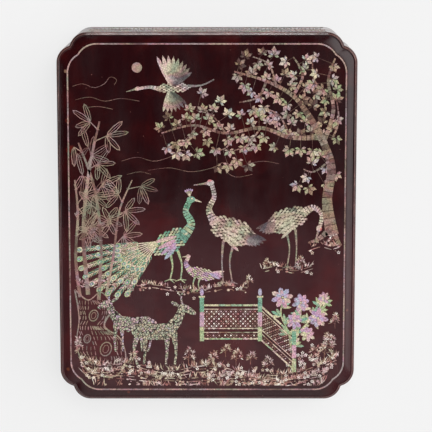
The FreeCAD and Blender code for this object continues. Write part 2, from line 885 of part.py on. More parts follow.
def draw_crane(neck, neck_widths, head, beak_angle):
    """Standing crane that looks to the right, drawn about its feet."""
    body = polygon(rounded([(-24, 33), (-8, 28), (6, 31), (14, 42), (9, 51), (-6, 49), (-18, 42)]))
    legs = [
        stroke([(-4, 30), (-1, 16), (-3, 0)], [2.4, 1.2, 1.2]),
        stroke([(4, 32), (5, 16), (4, 0)], [2.4, 1.2, 1.2]),
    ]
    plumes = [blade((-16, 40), angle, 22, 6) for angle in (200, 220, 240)]
    beak = stroke([head, beyond(head, beak_angle, 13)], [2.4, 0.6])
    return [body, *legs, *plumes, stroke(neck, neck_widths), round_plate(head, 2.8, 6), beak]


def draw_cranes():
    upright = draw_crane([(10, 46), (15, 57), (11, 67), (13, 77)], [8, 4.4, 3.2, 3], (14, 78), -8)
    bending = draw_crane([(10, 46), (19, 51), (26, 45), (25, 35)], [8, 4.6, 3.4, 3], (24, 33), -105)
    return placed(upright, 18, -48, facing=-1), placed(bending, 54, -40)


def draw_flying_crane():
    body = polygon(rounded([(-12, 0), (-2, -3), (9, -1), (12, 2), (2, 4), (-8, 3)]))
    neck = stroke([(10, 1), (18, 4), (27, 4), (34, 3)], [4, 2, 2, 0.5])
    legs = stroke([(-10, 1), (-20, 0), (-30, 3)], [2, 1.2, 0.8])
    near_wing = [blade((2, 2), angle, 24, 6) for angle in range(75, 150, 18)]
    far_wing = [blade((4, 0), angle, 17, 5) for angle in range(-130, -60, 22)]
    return placed([body, neck, legs, *near_wing, *far_wing], -24, 98, facing=-1, turn=8)


def draw_peafowl():
    """Peacock whose train sweeps down behind it, and its hen."""
    body = polygon(rounded([(-12, 22), (0, 18), (12, 24), (16, 34), (8, 38), (-4, 34)]))
    neck = stroke([(12, 32), (18, 42), (14, 52), (17, 60)], [10, 6, 4.4, 4])
    beak = stroke([(17, 61), (26, 59)], [3, 0.5])
    crest = [stroke([(17, 62), beyond((17, 62), angle, 9)], [0.6, 1.6]) for angle in (80, 100, 120)]
    legs = [stroke([(2, 21), (4, 10), (2, 0)], [3, 1.4, 1.2]),
            stroke([(8, 22), (11, 11), (10, 0)], [3, 1.4, 1.2])]
    train = [blade((-6, 29), angle, length, 9)
             for angle, length in zip(range(188, 248, 12), (60, 62, 60, 54, 44))]
    cock = [body, neck, round_plate((18, 61), 3.2, 6), beak, *crest, *legs, *train]
    hen_body = polygon(rounded([(-20, 12), (-6, 11), (8, 14), (14, 22), (6, 26), (-8, 22)]))
    hen_neck = stroke([(10, 21), (15, 30), (12, 38)], [8, 4.6, 3.6])
    hen_legs = [stroke([(-1, 13), (0, 0)], [2.4, 1.2]), stroke([(5, 14), (6, 0)], [2.4, 1.2])]
    hen = [hen_body, hen_neck, round_plate((12, 39), 2.8, 6), stroke([(13, 39), (19, 38)], [2, 0.5]),
           *hen_legs]
    return placed(cock, -30, -46) + placed(hen, -8, -12, scale=0.8, facing=-1)


def draw_deer():
    body = polygon(rounded(
        [(-20, 26), (-6, 23), (10, 24), (18, 30), (14, 38), (-4, 37), (-18, 38), (-23, 32)], 1,
    ))
    neck = stroke([(13, 33), (20, 43), (23, 51)], [13, 8, 7])
    head = polygon([(19, 52), (24, 49), (34, 46), (35, 48.5), (27, 55), (22, 56)])
    ear = blade((20, 54), 150, 9, 4)
    legs = [
        stroke([(hip, 29), (knee, 14), (foot, 0)], [7, 2.5, 2])
        for hip, knee, foot in ((-17, -21, -18), (-11, -11, -12), (9, 9, 8), (15, 17, 16))
    ]
    antlers = [
        stroke([(23, 55), (22, 64), (28, 72)], [1.8, 1.4, 0.8]),
        stroke([(22.4, 62), (15, 72)], [1.4, 0.7]),
    ]
    return [body, neck, head, ear, *legs, *antlers, blade((-21, 35), 215, 8, 3.4)]


def draw_deer_pair():
    return placed(draw_deer(), -32, -112, scale=0.86) + placed(draw_deer(), -58, -102, 0.72, -1)


CANES = [
    ([(-90, -58), (-93, -10), (-88, 38), (-80, 74)], [3, 2.6, 2.2, 1.2]),
    ([(-82, -62), (-80, -20), (-84, 22), (-96, 58)], [2.6, 2.4, 2, 1.2]),
    ([(-96, -60), (-99, -30), (-97, 4), (-99, 30)], [2.4, 2.2, 1.8, 1]),
]
def draw_bamboo():
    leaves = []
    for cane, (path, _) in enumerate(CANES):
        for step in range(5):
            place, direction = along_path(path, 0.4 + 0.14 * step)
            side = 1 if (step + cane) % 2 else -1
            for turn, length in ((40, 18), (78, 15)):
                angle = direction - side * turn
                if abs(beyond(place, angle, length)[0]) < FIELD_EDGE:
                    leaves.append(blade(place, angle, length, 4.4))
    return [stroke(*cane) for cane in CANES] + leaves


def draw_rock():
    body = polygon([
        (-100, -52), (-90, -62), (-80, -56), (-72, -68), (-78, -82), (-66, -92), (-62, -108), (-70, -122),
        (-92, -118), (-101, -96),
    ])
    for centre, radius in (((-86, -74), 4), ((-77, -100), 5), ((-92, -92), 3)):
        body = body.cut(round_plate(centre, radius, 6))
    return body.Faces


LATTICE_PITCH = 11


def draw_fence():
    """Railing in two runs that meet at a post, with lattice between its rails."""
    bars = []
    for x, y, height in ((-4, -94, 34), (40, -94, 34), (66, -118, 32)):
        bars += [bar((x, y), (x, y + height), 3), round_plate((x, y + height + 2), 2.4, 6)]
    for start, end in (((-4, -92), (40, -92)), ((40, -92), (66, -116))):
        for rise, width in ((0, 1.6), (8, 1.2), (26, 1.8)):
            bars.append(bar((start[0], start[1] + rise), (end[0], end[1] + rise), width))
        count = round(math.dist(start, end) / LATTICE_PITCH)
        for number in range(1, count):
            (x, y), _ = along_path([start, end], number / count)
            bars.append(bar((x, y + 8), (x, y + 26), 0.9))
        bars.append(bar((start[0], start[1] + 17), (end[0], end[1] + 17), 0.9))
    return bars


def draw_peony():
    stems = [
        stroke([(64, -104), (62, -88), (56, -74), (57, -62)], [1.6, 1.3, 1.1, 0.8]),
        stroke([(64, -104), (68, -90), (76, -80), (84, -76)], [1.6, 1.3, 1.1, 0.8]),
        stroke([(62, -90), (70, -78), (71, -66)], [1.2, 1, 0.8]),
    ]
    flowers = [
        lobed((x, y), radius, 6, 7 * x, 0.7)
        for x, y, radius in (
            (57, -60, 8), (71, -64, 7), (84, -76, 7.5), (66, -78, 6.5), (76, -88, 6), (88, -61, 5),
        )
    ]
    leaves = [blade(base, angle, 9, 4) for base, angle in (
        ((60, -84), 200), ((58, -78), 170), ((69, -90), -20), ((63, -96), 30), ((63, -98), 160),
    )]
    return flowers + leaves + stems


TUFTS = 12
TUFT_PITCH = 13


def draw_ground():
    """Banks of earth and tufts of grass along the lower edge."""
    banks = [
        ([(-58, -116), (-30, -119), (0, -115), (30, -120), (60, -122), (84, -118)],
         [1, 1.6, 1.6, 1.6, 1.4, 0.8]),
        ([(64, -30), (78, -27), (92, -30), (101, -28)], [0.8, 1.4, 1.4, 0.8]),
        ([(-60, -52), (-44, -50), (-26, -52)], [0.6, 1.2, 0.6]),
    ]
    tufts = []
    for number in range(TUFTS):
        x = -74 + TUFT_PITCH * number
        y = -127 + 2 * math.sin(1.7 * number)
        lean = 2 * math.sin(number)
        tufts.append(polygon([
            (x - 1.4, y), (x - 4, y + 7), (x - 0.6, y + 2), (x + lean, y + 9), (x + 0.6, y + 2),
            (x + 4.4, y + 6), (x + 1.4, y),
        ]))
    return [stroke(*bank) for bank in banks] + tufts


SMALLEST_PLATE = 1


def visible_faces(face, covering):
    """What is left of a face beside the faces that lie over it."""
    over = [other for other in covering if other.BoundBox.intersect(face.BoundBox)]
    if not over:
        return [face]
    return [piece for piece in face.cut(over).Faces if piece.Area > SMALLEST_PLATE]


def lay_plates(motifs):
    """Cut each face by those before it and raise what is left into plates on the field."""
    covering = []
    lift = FreeCAD.Vector(0, 0, size.pearl_thickness.number)
    for node, faces in motifs:
        plates = []
        for face in faces:
            plates += [piece.extrude(lift) for piece in visible_faces(face, covering)]
            covering.append(face)
        item = document.addObject("Part::Feature", f"{node}_plates")
        item.Shape = Part.makeCompound(plates)
        item.Placement.Base = FreeCAD.Vector(0, 0, size.field_height.number)
        keep(item, node)


def build_lid_inlay():
    crane, bending_crane = draw_cranes()
    lay_plates([
        ("inlay_crane_upright", crane),
        ("inlay_crane_bending", bending_crane),
        ("inlay_crane_flying", draw_flying_crane()),
        ("inlay_peafowl", draw_peafowl()),
        ("inlay_deer", draw_deer_pair()),
        ("inlay_peony", draw_peony()),
        ("inlay_fence", draw_fence()),
        ("inlay_tree_leaves", draw_leaves()),
        ("inlay_tree", [stroke(*limb) for limb in LIMBS + ROOTS]),
        ("inlay_bamboo", draw_bamboo()),
        ("inlay_rock", draw_rock()),
        ("inlay_moon_and_clouds", draw_moon_and_clouds()),
        ("inlay_ground", draw_ground()),
    ])


def side_plate(normal, level, corners):
    """Plate on an outer wall; its corners run along the wall and up."""
    face_x, face_y = normal
    points = [
        FreeCAD.Vector(face_x * level - face_y * run, face_y * level + face_x * run, rise)
        for run, rise in corners
    ]
    face = Part.Face(Part.makePolygon(points + points[:1]))
    return face.extrude(FreeCAD.Vector(face_x, face_y, 0) * size.pearl_thickness.number)


def build_side_inlay(node, bottom, top):
    """Two strings with a row of lozenges between them, on each straight side."""
    bottom = bottom.number + size.side_string_margin.number
    top = top.number - size.side_string_margin.number
    width = size.side_string_width.number
    middle = (bottom + top) / 2
    half_long = size.lozenge_length.number / 2
    half_wide = size.lozenge_width.number / 2
    plates = []
    for normal in SIDES.values():
        level, end = size.box_width.number / 2, size.box_length.number / 2
        if normal[1]:
            level, end = end, level
        end -= size.lobe_start.number
        for low, high in ((bottom, bottom + width), (top - width, top)):
            plates.append(side_plate(normal, level, [(-end, low), (end, low), (end, high), (-end, high)]))
        count = round(2 * end / size.lozenge_pitch.number)
        for number in range(count):
            run = (number + 0.5 - count / 2) * size.lozenge_pitch.number
            plates.append(side_plate(normal, level, [
                (run - half_long, middle), (run, middle - half_wide),
                (run + half_long, middle), (run, middle + half_wide),
            ]))
    item = document.addObject("Part::Feature", f"{node}_plates")
    item.Shape = Part.makeCompound(plates)
    keep(item, node)


size = make_sheet()
pins = build_pins()
build_foot()
build_bottom(pins)
build_frame("base", size.foot_height + size.bottom_thickness, size.seam_height, size.wall_thickness, pins)
build_frame(
    "lid", size.seam_height, size.field_height - size.lid_panel_thickness,
    size.wall_thickness - size.lid_clearance,
)
build_linings()
build_bearers()
build_lid_panel()
build_border_string()
build_stone_board()
build_ink_stone()
build_tray()
build_ink_stick()
build_stick_rests()
build_lid_inlay()
build_side_inlay("lid_side_inlay", size.seam_height, size.field_height - size.lid_panel_thickness)
build_side_inlay("base_side_inlay", size.foot_height + size.bottom_thickness, size.seam_height)


def write_parts():
    document.recompute()
    failed = [item.Label for item in document.Objects if {"Invalid", "Error"} & set(item.State)]
    if failed:
        raise RuntimeError(f"failed features: {failed}")
    for item in exported:
        if item.Shape.isNull() or not item.Shape.isValid() or item.Shape.Volume <= 0:
            raise RuntimeError(f"{item.Label} has no valid shape")
    os.makedirs("parts", exist_ok=True)
    for item in exported:
        item.Shape.exportStep(f"parts/{item.Label}.step")
        print(f"{item.Label}: {len(item.Shape.Solids)} solids, {item.Shape.Volume / 1000:.2f} cm3")


write_parts()
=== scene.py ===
import math
import random

import bmesh
import bpy
from mathutils import Matrix, Vector


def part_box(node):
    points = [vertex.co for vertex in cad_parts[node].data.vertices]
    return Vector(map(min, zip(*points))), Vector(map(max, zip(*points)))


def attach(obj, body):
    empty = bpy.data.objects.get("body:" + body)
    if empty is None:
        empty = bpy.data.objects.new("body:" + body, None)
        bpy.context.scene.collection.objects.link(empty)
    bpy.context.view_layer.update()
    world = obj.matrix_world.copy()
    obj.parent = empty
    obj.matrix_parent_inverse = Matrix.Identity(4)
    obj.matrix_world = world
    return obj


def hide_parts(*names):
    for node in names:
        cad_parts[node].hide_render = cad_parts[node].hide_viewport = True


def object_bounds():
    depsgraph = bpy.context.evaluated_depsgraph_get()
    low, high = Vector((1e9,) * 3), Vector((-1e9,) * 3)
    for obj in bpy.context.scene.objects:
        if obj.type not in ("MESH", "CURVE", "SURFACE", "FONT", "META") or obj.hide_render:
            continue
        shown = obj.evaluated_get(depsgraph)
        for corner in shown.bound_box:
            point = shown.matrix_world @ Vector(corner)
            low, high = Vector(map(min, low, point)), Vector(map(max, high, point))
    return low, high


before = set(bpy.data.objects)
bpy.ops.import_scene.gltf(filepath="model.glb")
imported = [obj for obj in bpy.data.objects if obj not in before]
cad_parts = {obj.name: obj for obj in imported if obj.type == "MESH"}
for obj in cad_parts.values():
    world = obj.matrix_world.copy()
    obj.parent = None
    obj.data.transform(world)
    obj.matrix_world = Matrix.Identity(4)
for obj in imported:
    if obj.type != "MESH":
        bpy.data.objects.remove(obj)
cad_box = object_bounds()
MM = 0.001
chance = random.Random(11)


# ---------------------------------------------------------------- shading helpers

def tint(red, green, blue):
    """A colour as it is seen, 0 to 255, in the light values that the shader wants."""
    def light(level):
        share = level / 255
        return share / 12.92 if share <= 0.04045 else ((share + 0.055) / 1.055) ** 2.4
    return light(red), light(green), light(blue), 1


class Nodes:
    """A node tree under way, and short ways to add nodes to it."""

    def __init__(self, owner):
        owner.use_nodes = True
        self.tree = owner.node_tree

    def feed(self, socket, value):
        """Link a value that comes from a node, or set a plain one; colours are given as they are seen."""
        if isinstance(value, bpy.types.NodeSocket):
            self.tree.links.new(value, socket)
        else:
            socket.default_value = tint(*value) if socket.type == "RGBA" else value

    def node(self, kind, inputs=None, **settings):
        """New node with its settings made and its inputs fed."""
        made = self.tree.nodes.new("ShaderNode" + kind)
        for setting, value in settings.items():
            setattr(made, setting, value)
        for socket, value in (inputs or {}).items():
            self.feed(made.inputs[socket], value)
        return made

    def math(self, operation, *values):
        return self.node("Math", dict(enumerate(values)), operation=operation).outputs[0]

    def times(self, first, second):
        return self.math("MULTIPLY", first, second)

    def spread(self, value, low, high, to_low=0, to_high=1):
        """Value from low..high brought smoothly to another range, and held within it."""
        return self.node("MapRange", {
            "Value": value, "From Min": low, "From Max": high, "To Min": to_low, "To Max": to_high,
        }, interpolation_type="SMOOTHSTEP").outputs["Result"]


class Finish(Nodes):
    """A material under way: its shader, and the colour laid on it so far."""

    def __init__(self, name, colour=None, **values):
        self.material = bpy.data.materials.new(name)
        super().__init__(self.material)
        self.shader = self.tree.nodes["Principled BSDF"]
        self.place = self.node("TexCoord").outputs["Object"]
        self.colour = colour
        for socket, value in values.items():
            self.feed(self.shader.inputs[socket.replace("_", " ")], value)

    def stretched(self, scale, turn=(0, 0, 0)):
        """Object coordinates, turned by degrees and then scaled."""
        angles = [math.radians(angle) for angle in turn]
        return self.node("Mapping", {"Vector": self.place, "Rotation": angles, "Scale": scale}).outputs[0]

    def noise(self, size, detail=3, rough=0.55, distortion=0, vector=None):
        """Cloudy noise with blotches about size metres across."""
        return self.node("TexNoise", {
            "Vector": vector or self.place, "Scale": 1 / size, "Detail": detail, "Roughness": rough,
            "Distortion": distortion,
        }).outputs["Fac"]

    def cells(self, size, feature="F1", output="Distance"):
        """Irregular cells about size metres across."""
        made = self.node("TexVoronoi", {"Vector": self.place, "Scale": 1 / size}, feature=feature)
        return made.outputs[output]

    def ramp(self, value, colours):
        """Colours evenly placed along a value."""
        made = self.node("ValToRGB", {"Fac": value})
        band = made.color_ramp
        while len(band.elements) < len(colours):
            band.elements.new(0.5)
        for number, colour in enumerate(colours):
            band.elements[number].position = number / (len(colours) - 1)
            band.elements[number].color = tint(*colour)
        return made.outputs["Color"]

    def tone(self):
        """The value that each plate was given when it was laid."""
        return self.node("Attribute", attribute_name="tone").outputs["Fac"]

    def part(self, axis, vector=None):
        """One coordinate of the place, or one part of another vector."""
        return self.node("SeparateXYZ", {"Vector": vector or self.place}).outputs[axis]

    def coat(self, share, colour, blend="MIX"):
        """Lay another colour over the surface's colour so far."""
        made = self.node("Mix", {"Factor": share}, data_type="RGBA", blend_type=blend)
        below, above = [socket for socket in made.inputs if socket.type == "RGBA"]
        self.feed(below, self.colour)
        self.feed(above, colour)
        self.colour = next(socket for socket in made.outputs if socket.type == "RGBA")

    def close(self, roughness, height, depth):
        """Give the shader its colour, its roughness and a relief, depth metres deep for a height of 1."""
        bump = self.node("Bump", {"Height": height, "Distance": depth})
        values = {"Base Color": self.colour, "Roughness": roughness, "Normal": bump.outputs[0]}
        for name, value in values.items():
            self.feed(self.shader.inputs[name], value)
        return self.material


# ---------------------------------------------------------------- finishes

def lacquer_finish(name, dark, warm, rubbed_and_highlight, gloss=(0.15, 0.32), chips=(), painted_veil=None):
    """Old lacquer over wood: near black with red-brown patches, faint streaks, rubbed edges and chips. Where
    the rubbed colour is pale, the band on sloping edges is also a painted highlight, and the veil, where
    given, is a painted reflection that lightens the lower end.
    """
    finish = Finish(name, dark)
    finish.coat(finish.spread(finish.noise(0.05, 4, 0.6, 0.5), 0.45, 0.75), warm)
    streaks = finish.noise(0.006, 4, 0.65, vector=finish.stretched((1, 0.12, 1)))
    finish.coat(finish.spread(streaks, 0.45, 0.8, 0, 0.3), warm)
    # Painted reflection: a pale veil added over the lower end, lighter towards that end and easing off at the
    # very edge.
    if painted_veil:
        along = finish.part("Y")
        painted_veil_mask = finish.spread(along, 0.03, -0.035)
        finish.coat(finish.times(painted_veil_mask, finish.spread(along, -0.132, -0.12, 0.5, 1)), painted_veil, "ADD")
    # Band along the sloping shoulders: wear, and where the rubbed colour is pale, as on the lid board, a
    # painted highlight.
    up = finish.part("Z", finish.node("NewGeometry").outputs["Normal"])
    edge = finish.times(finish.spread(up, 0.1, 0.45), finish.spread(up, 0.8, 0.62))
    wear_and_highlight = finish.spread(finish.noise(0.009, 5, 0.75), 0.35, 0.72, 0.2, 0.85)
    finish.coat(finish.times(edge, wear_and_highlight), rubbed_and_highlight)
    specks = finish.spread(finish.cells(0.006), 0.07, 0.0)
    finish.coat(finish.times(specks, finish.spread(finish.noise(0.03, 2), 0.5, 0.65)), rubbed_and_highlight)
    for x, y, radius, bare in chips:
        flat = finish.stretched((1, 1, 0))
        away = finish.node("VectorMath", {0: flat, 1: (x * MM, y * MM, 0)}, operation="DISTANCE")
        ragged = finish.times(finish.noise(0.004, 4, 0.7), 1.6 * radius * MM)
        worn = finish.math("ADD", away.outputs["Value"], ragged)
        finish.coat(finish.spread(worn, 1.5 * radius * MM, 1.1 * radius * MM, 0, 0.85), bare)
    cloudy = finish.noise(0.03, 4, 0.65, vector=finish.stretched((1, 0.3, 1)))
    relief = finish.math("ADD", finish.noise(0.022, 2), finish.times(finish.noise(0.0018, 3), 0.06))
    return finish.close(finish.spread(cloudy, 0.3, 0.75, *gloss), relief, 0.00025)


SHEEN = [(104, 188, 160), (196, 202, 168), (216, 194, 186), (222, 146, 178), (174, 158, 216), (156, 190, 210)]


def pearl_finish(name, colours, shine=0.3, figure=0.45, cuts=0.55, sheen=0.3, grain=0.0017):
    """Mother-of-pearl: each plate has its own place on the colour band and drifts along it.

    A sheen of green, pink and lilac lies over larger patches, and fine dark cuts run through the plates.
    """
    finish = Finish(name)
    drift = finish.noise(0.005, 2, 0.5, 0.6)
    shift = finish.times(finish.math("SUBTRACT", drift, 0.5), figure)
    finish.colour = finish.ramp(finish.math("ADD", finish.tone(), shift), colours)
    patches = finish.spread(finish.noise(0.016, 2, 0.5, 0.8), 0.3, 0.7)
    finish.coat(sheen, finish.ramp(patches, SHEEN), "OVERLAY")
    layers = finish.node("TexWave", {"Vector": finish.place, "Scale": 330, "Distortion": 11, "Detail": 2},
                         wave_type="BANDS", bands_direction="DIAGONAL").outputs["Fac"]
    finish.coat(finish.spread(layers, 0.1, 0.9, 0.0, 0.16), (60, 44, 38))
    cut = finish.spread(finish.cells(grain, "DISTANCE_TO_EDGE"), 0.12, 0.03, 0, cuts)
    finish.coat(cut, (44, 22, 20))
    relief = finish.math("SUBTRACT", finish.times(layers, 0.4), cut)
    return finish.close(finish.spread(drift, 0.3, 0.7, shine - 0.06, shine + 0.08), relief, 0.00004)


def cracked_pearl_finish(name, colours, size):
    """Shell laid in small irregular pieces, with dark lacquer in the joints."""
    finish = Finish(name)
    joint = finish.cells(size, "DISTANCE_TO_EDGE")
    piece = finish.cells(size, output="Color")
    tone = finish.math("ADD", finish.times(finish.tone(), 0.45), finish.times(piece, 0.55))
    finish.colour = finish.ramp(tone, colours)
    finish.coat(finish.spread(joint, 0.15, 0.06), (34, 16, 16))
    relief = finish.spread(joint, 0.03, 0.14)
    return finish.close(finish.spread(joint, 0.05, 0.13, 0.4, 0.27), relief, 0.00005)


def wood_finish(name, pale, deep, along="y", grain=0.004):
    """Stained wood with its grain along one axis."""
    finish = Finish(name, pale)
    drawn_out = finish.stretched([0.05 if axis == along else 1 for axis in "xyz"])
    lines = finish.noise(grain, 5, 0.65, 0.4, drawn_out)
    pores = finish.noise(grain / 5, 2, 0.6, vector=drawn_out)
    finish.coat(finish.spread(lines, 0.3, 0.72), deep)
    finish.coat(finish.spread(pores, 0.6, 0.75, 0, 0.6), [level * 0.5 for level in deep])
    dust = finish.spread(finish.noise(0.03, 4, 0.7), 0.5, 0.75, 0, 0.25)
    finish.coat(dust, [min(255, level * 1.35) for level in pale])
    relief = finish.math("SUBTRACT", lines, finish.times(pores, 0.5))
    return finish.close(finish.spread(lines, 0.3, 0.7, 0.32, 0.5), relief, 0.00012)


def slate_finish():
    """Dark ink stone, honed, with ink dried into its low places."""
    finish = Finish("slate", (52, 50, 54))
    clouds = finish.noise(0.03, 5, 0.6, 0.6)
    finish.coat(finish.spread(clouds, 0.35, 0.7), (74, 72, 76))
    veins = finish.noise(0.012, 4, 0.7, 1.5, finish.stretched((1, 0.35, 1), (0, 0, 24)))
    finish.coat(finish.spread(veins, 0.62, 0.7, 0, 0.35), (98, 92, 92))
    low = finish.spread(finish.part("Z"), 0.0312, 0.0285)
    finish.coat(finish.times(low, finish.spread(finish.noise(0.02, 4, 0.6), 0.3, 0.6, 0.55, 1)), (17, 16, 19))
    relief = finish.math("ADD", finish.noise(0.001, 3), finish.times(clouds, 2))
    return finish.close(finish.spread(clouds, 0.3, 0.7, 0.38, 0.55), relief, 0.00008)


def ink_finish():
    """Pressed soot and glue: black, satin where it was polished, with fine crazing."""
    finish = Finish("ink_cake", (18, 17, 19))
    cloudy = finish.noise(0.012, 4, 0.6)
    finish.coat(finish.spread(cloudy, 0.4, 0.7), (38, 36, 40))
    crazing = finish.spread(finish.cells(0.006, "DISTANCE_TO_EDGE"), 0, 0.03)
    relief = finish.math("ADD", crazing, finish.noise(0.001, 2))
    return finish.close(finish.spread(cloudy, 0.3, 0.7, 0.28, 0.5), relief, 0.00005)


def gilt_finish():
    """Gold powder rubbed on the raised parts of the ink stick, thin in places."""
    finish = Finish("gilt", (214, 170, 84), Metallic=0.85)
    worn = finish.spread(finish.noise(0.002, 4, 0.7), 0.45, 0.62)
    finish.coat(worn, (92, 70, 40))
    return finish.close(finish.spread(worn, 0, 1, 0.34, 0.55), finish.noise(0.0007, 3), 0.00004)


LEAF_SHELL = [(90, 70, 62), (138, 116, 96), (178, 160, 134), (158, 166, 130), (194, 172, 154),
              (178, 144, 140), (174, 172, 174), (222, 206, 180)]
BARK_SHELL = [(100, 72, 66), (136, 104, 92), (164, 138, 120), (138, 122, 102), (170, 138, 132)]
BRIGHT_SHELL = [(100, 156, 132), (140, 184, 158), (184, 192, 146), (228, 214, 182), (214, 168, 178),
                (192, 160, 190), (178, 186, 202)]
BIRD_SHELL = [(84, 78, 76), (132, 121, 113), (178, 164, 147), (218, 204, 188), (200, 172, 166),
              (196, 108, 102)]
LINE_SHELL = [(102, 74, 68), (138, 112, 100), (172, 150, 136), (132, 122, 104), (164, 128, 126)]
PALE_SHELL = [(92, 54, 46), (148, 106, 92), (234, 212, 192), (134, 118, 98), (188, 134, 130), (254, 244, 232)]
STRING_SHELL = [(110, 88, 84), (152, 128, 120), (182, 158, 150), (142, 128, 118), (166, 136, 138)]
BAND_SHELL = [(104, 90, 88), (150, 136, 130), (176, 160, 154), (140, 150, 134), (170, 132, 140)]
DEER_SHELL = [(116, 92, 80), (160, 142, 120), (200, 186, 160), (164, 174, 148), (202, 166, 166),
              (172, 160, 182), (230, 220, 202)]
# Chips in the lid's lacquer: place and radius in millimetres, and the colour laid bare
CHIPS = [(-102, 53, 5, (84, 22, 14)), (-105, 111, 2, (136, 104, 84)), (-106, -116, 2.2, (104, 56, 38)),
         (-104, 74, 3, (78, 24, 16)), (106, -70, 2, (104, 60, 48)), (-60, -134, 2, (96, 44, 34))]
TRAY_WOOD = (112, 58, 36), (74, 32, 22)

lacquer = lacquer_finish("lacquer", (42, 9, 10), (82, 20, 17), (128, 66, 52))
# Lid board: its pale rubbed colour is wear and a painted highlight along the shoulders, and its veil is a
# painted reflection over the lower end.
board_lacquer = lacquer_finish("board_lacquer", (31, 4, 7), (58, 10, 11), (150, 104, 94), chips=CHIPS,
                               painted_veil=(45, 24, 26))
inner_lacquer = lacquer_finish("inner_lacquer", (30, 10, 11), (54, 18, 15), (92, 54, 44), (0.28, 0.45))
leaf_pearl = pearl_finish("leaf_pearl", LEAF_SHELL, figure=0.7, grain=0.0021)
bark_pearl = pearl_finish("bark_pearl", BARK_SHELL)
bright_pearl = pearl_finish("bright_pearl", BRIGHT_SHELL, 0.26, sheen=0.15)
bird_pearl = pearl_finish("bird_pearl", BIRD_SHELL, 0.26, 0.5, sheen=0.36)
line_pearl = pearl_finish("line_pearl", LINE_SHELL, 0.34, cuts=0.4)
pale_pearl = pearl_finish("pale_pearl", PALE_SHELL, 0.34, 0.6, cuts=0.3)
string_pearl = pearl_finish("string_pearl", STRING_SHELL, figure=0.9, cuts=0.4)
band_pearl = pearl_finish("band_pearl", BAND_SHELL)
cracked_pearl = cracked_pearl_finish("cracked_pearl", DEER_SHELL, 0.0017)
slate = slate_finish()
ink = ink_finish()
gilt = gilt_finish()
lining_wood = wood_finish("lining_wood", (92, 42, 26), (58, 22, 16))
tray_wood = wood_finish("tray_wood", *TRAY_WOOD)
tray_wood_across = wood_finish("tray_wood_across", *TRAY_WOOD, "x")
bamboo = wood_finish("bamboo", (196, 156, 100), (160, 116, 68), "z", 0.001)


# ---------------------------------------------------------------- paths, meshes and pieces

def follow(path, share):
    """Place and heading at a share of the way along a smooth line through the points."""
    points = [Vector(point) for point in path]
    spans = len(points) - 1
    number = max(0, min(int(share * spans), spans - 1))
    step = share * spans - number
    a, b, c, d = (points[max(0, min(spans, number + shift))] for shift in (-1, 0, 1, 2))
    bend = 2 * a - 5 * b + 4 * c - d
    twist = 3 * b - a - 3 * c + d
    place = b + ((c - a) * step + bend * step**2 + twist * step**3) / 2
    heading = (c - a) / 2 + bend * step + twist * step**2 * 1.5
    return place, math.degrees(math.atan2(heading.y, heading.x))


def reach(path):
    return sum((Vector(after) - Vector(before)).length for before, after in zip(path, path[1:]))


def beyond(place, angle, distance):
    turn = math.radians(angle)
    return Vector((place[0] + distance * math.cos(turn), place[1] + distance * math.sin(turn)))


def between(values, share):
    """Value at a share of the way along a row of values."""
    span = share * (len(values) - 1)
    number = max(0, min(int(span), len(values) - 2))
    return values[number] + (values[number + 1] - values[number]) * (span - number)


def pairs_round(items):
    """Each item with the next one, and the last with the first."""
    return list(zip(items, items[1:] + items[:1]))


def moved(x, y, z=0):
    return Matrix.Translation((x, y, z))


def turned(angle, axis="Z"):
    return Matrix.Rotation(math.radians(angle), 4, axis)


def sized(x, y):
    return Matrix.Diagonal((x, y, 1, 1))


def faces_of(made):
    """Faces round the vertices that an operator made."""
    return {face for vert in made["verts"] for face in vert.link_faces}


def extruded(mesh):
    """Extrude every face in place, and return the new vertices, which are still to be moved."""
    raised = bmesh.ops.extrude_face_region(mesh, geom=mesh.faces[:])
    return [item for item in raised["geom"] if isinstance(item, bmesh.types.BMVert)]


def to_metres(mesh):
    bmesh.ops.scale(mesh, verts=mesh.verts, vec=(MM, MM, MM))


def new_object(name, data):
    made = bpy.data.objects.new(name, data)
    bpy.context.scene.collection.objects.link(made)
    return made


def mesh_object(name, mesh, material):
    """Turn a finished bmesh into an object of one material."""
    data = bpy.data.meshes.new(name)
    mesh.to_mesh(data)
    mesh.free()
    data.materials.append(material)
    return new_object(name, data)


def place_piece(name, mesh, material, body, node=None):
    """Turn a closed bmesh into a piece that rides on its body, and stands for a node where one is given."""
    bmesh.ops.recalc_face_normals(mesh, faces=mesh.faces)
    piece = mesh_object(name, mesh, material)
    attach(piece, body)
    if node:
        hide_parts(node)


# ---------------------------------------------------------------- plates of shell

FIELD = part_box("inlay_rock")[0].z / MM
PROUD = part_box("inlay_rock")[1].z / MM - FIELD
# Differences in height, as shares of a plate's rise: between two sets of plates, and between plates of a set
SET_STEP = 0.0007
PLATE_STEP = 0.006
PLATE_STEPS = 8


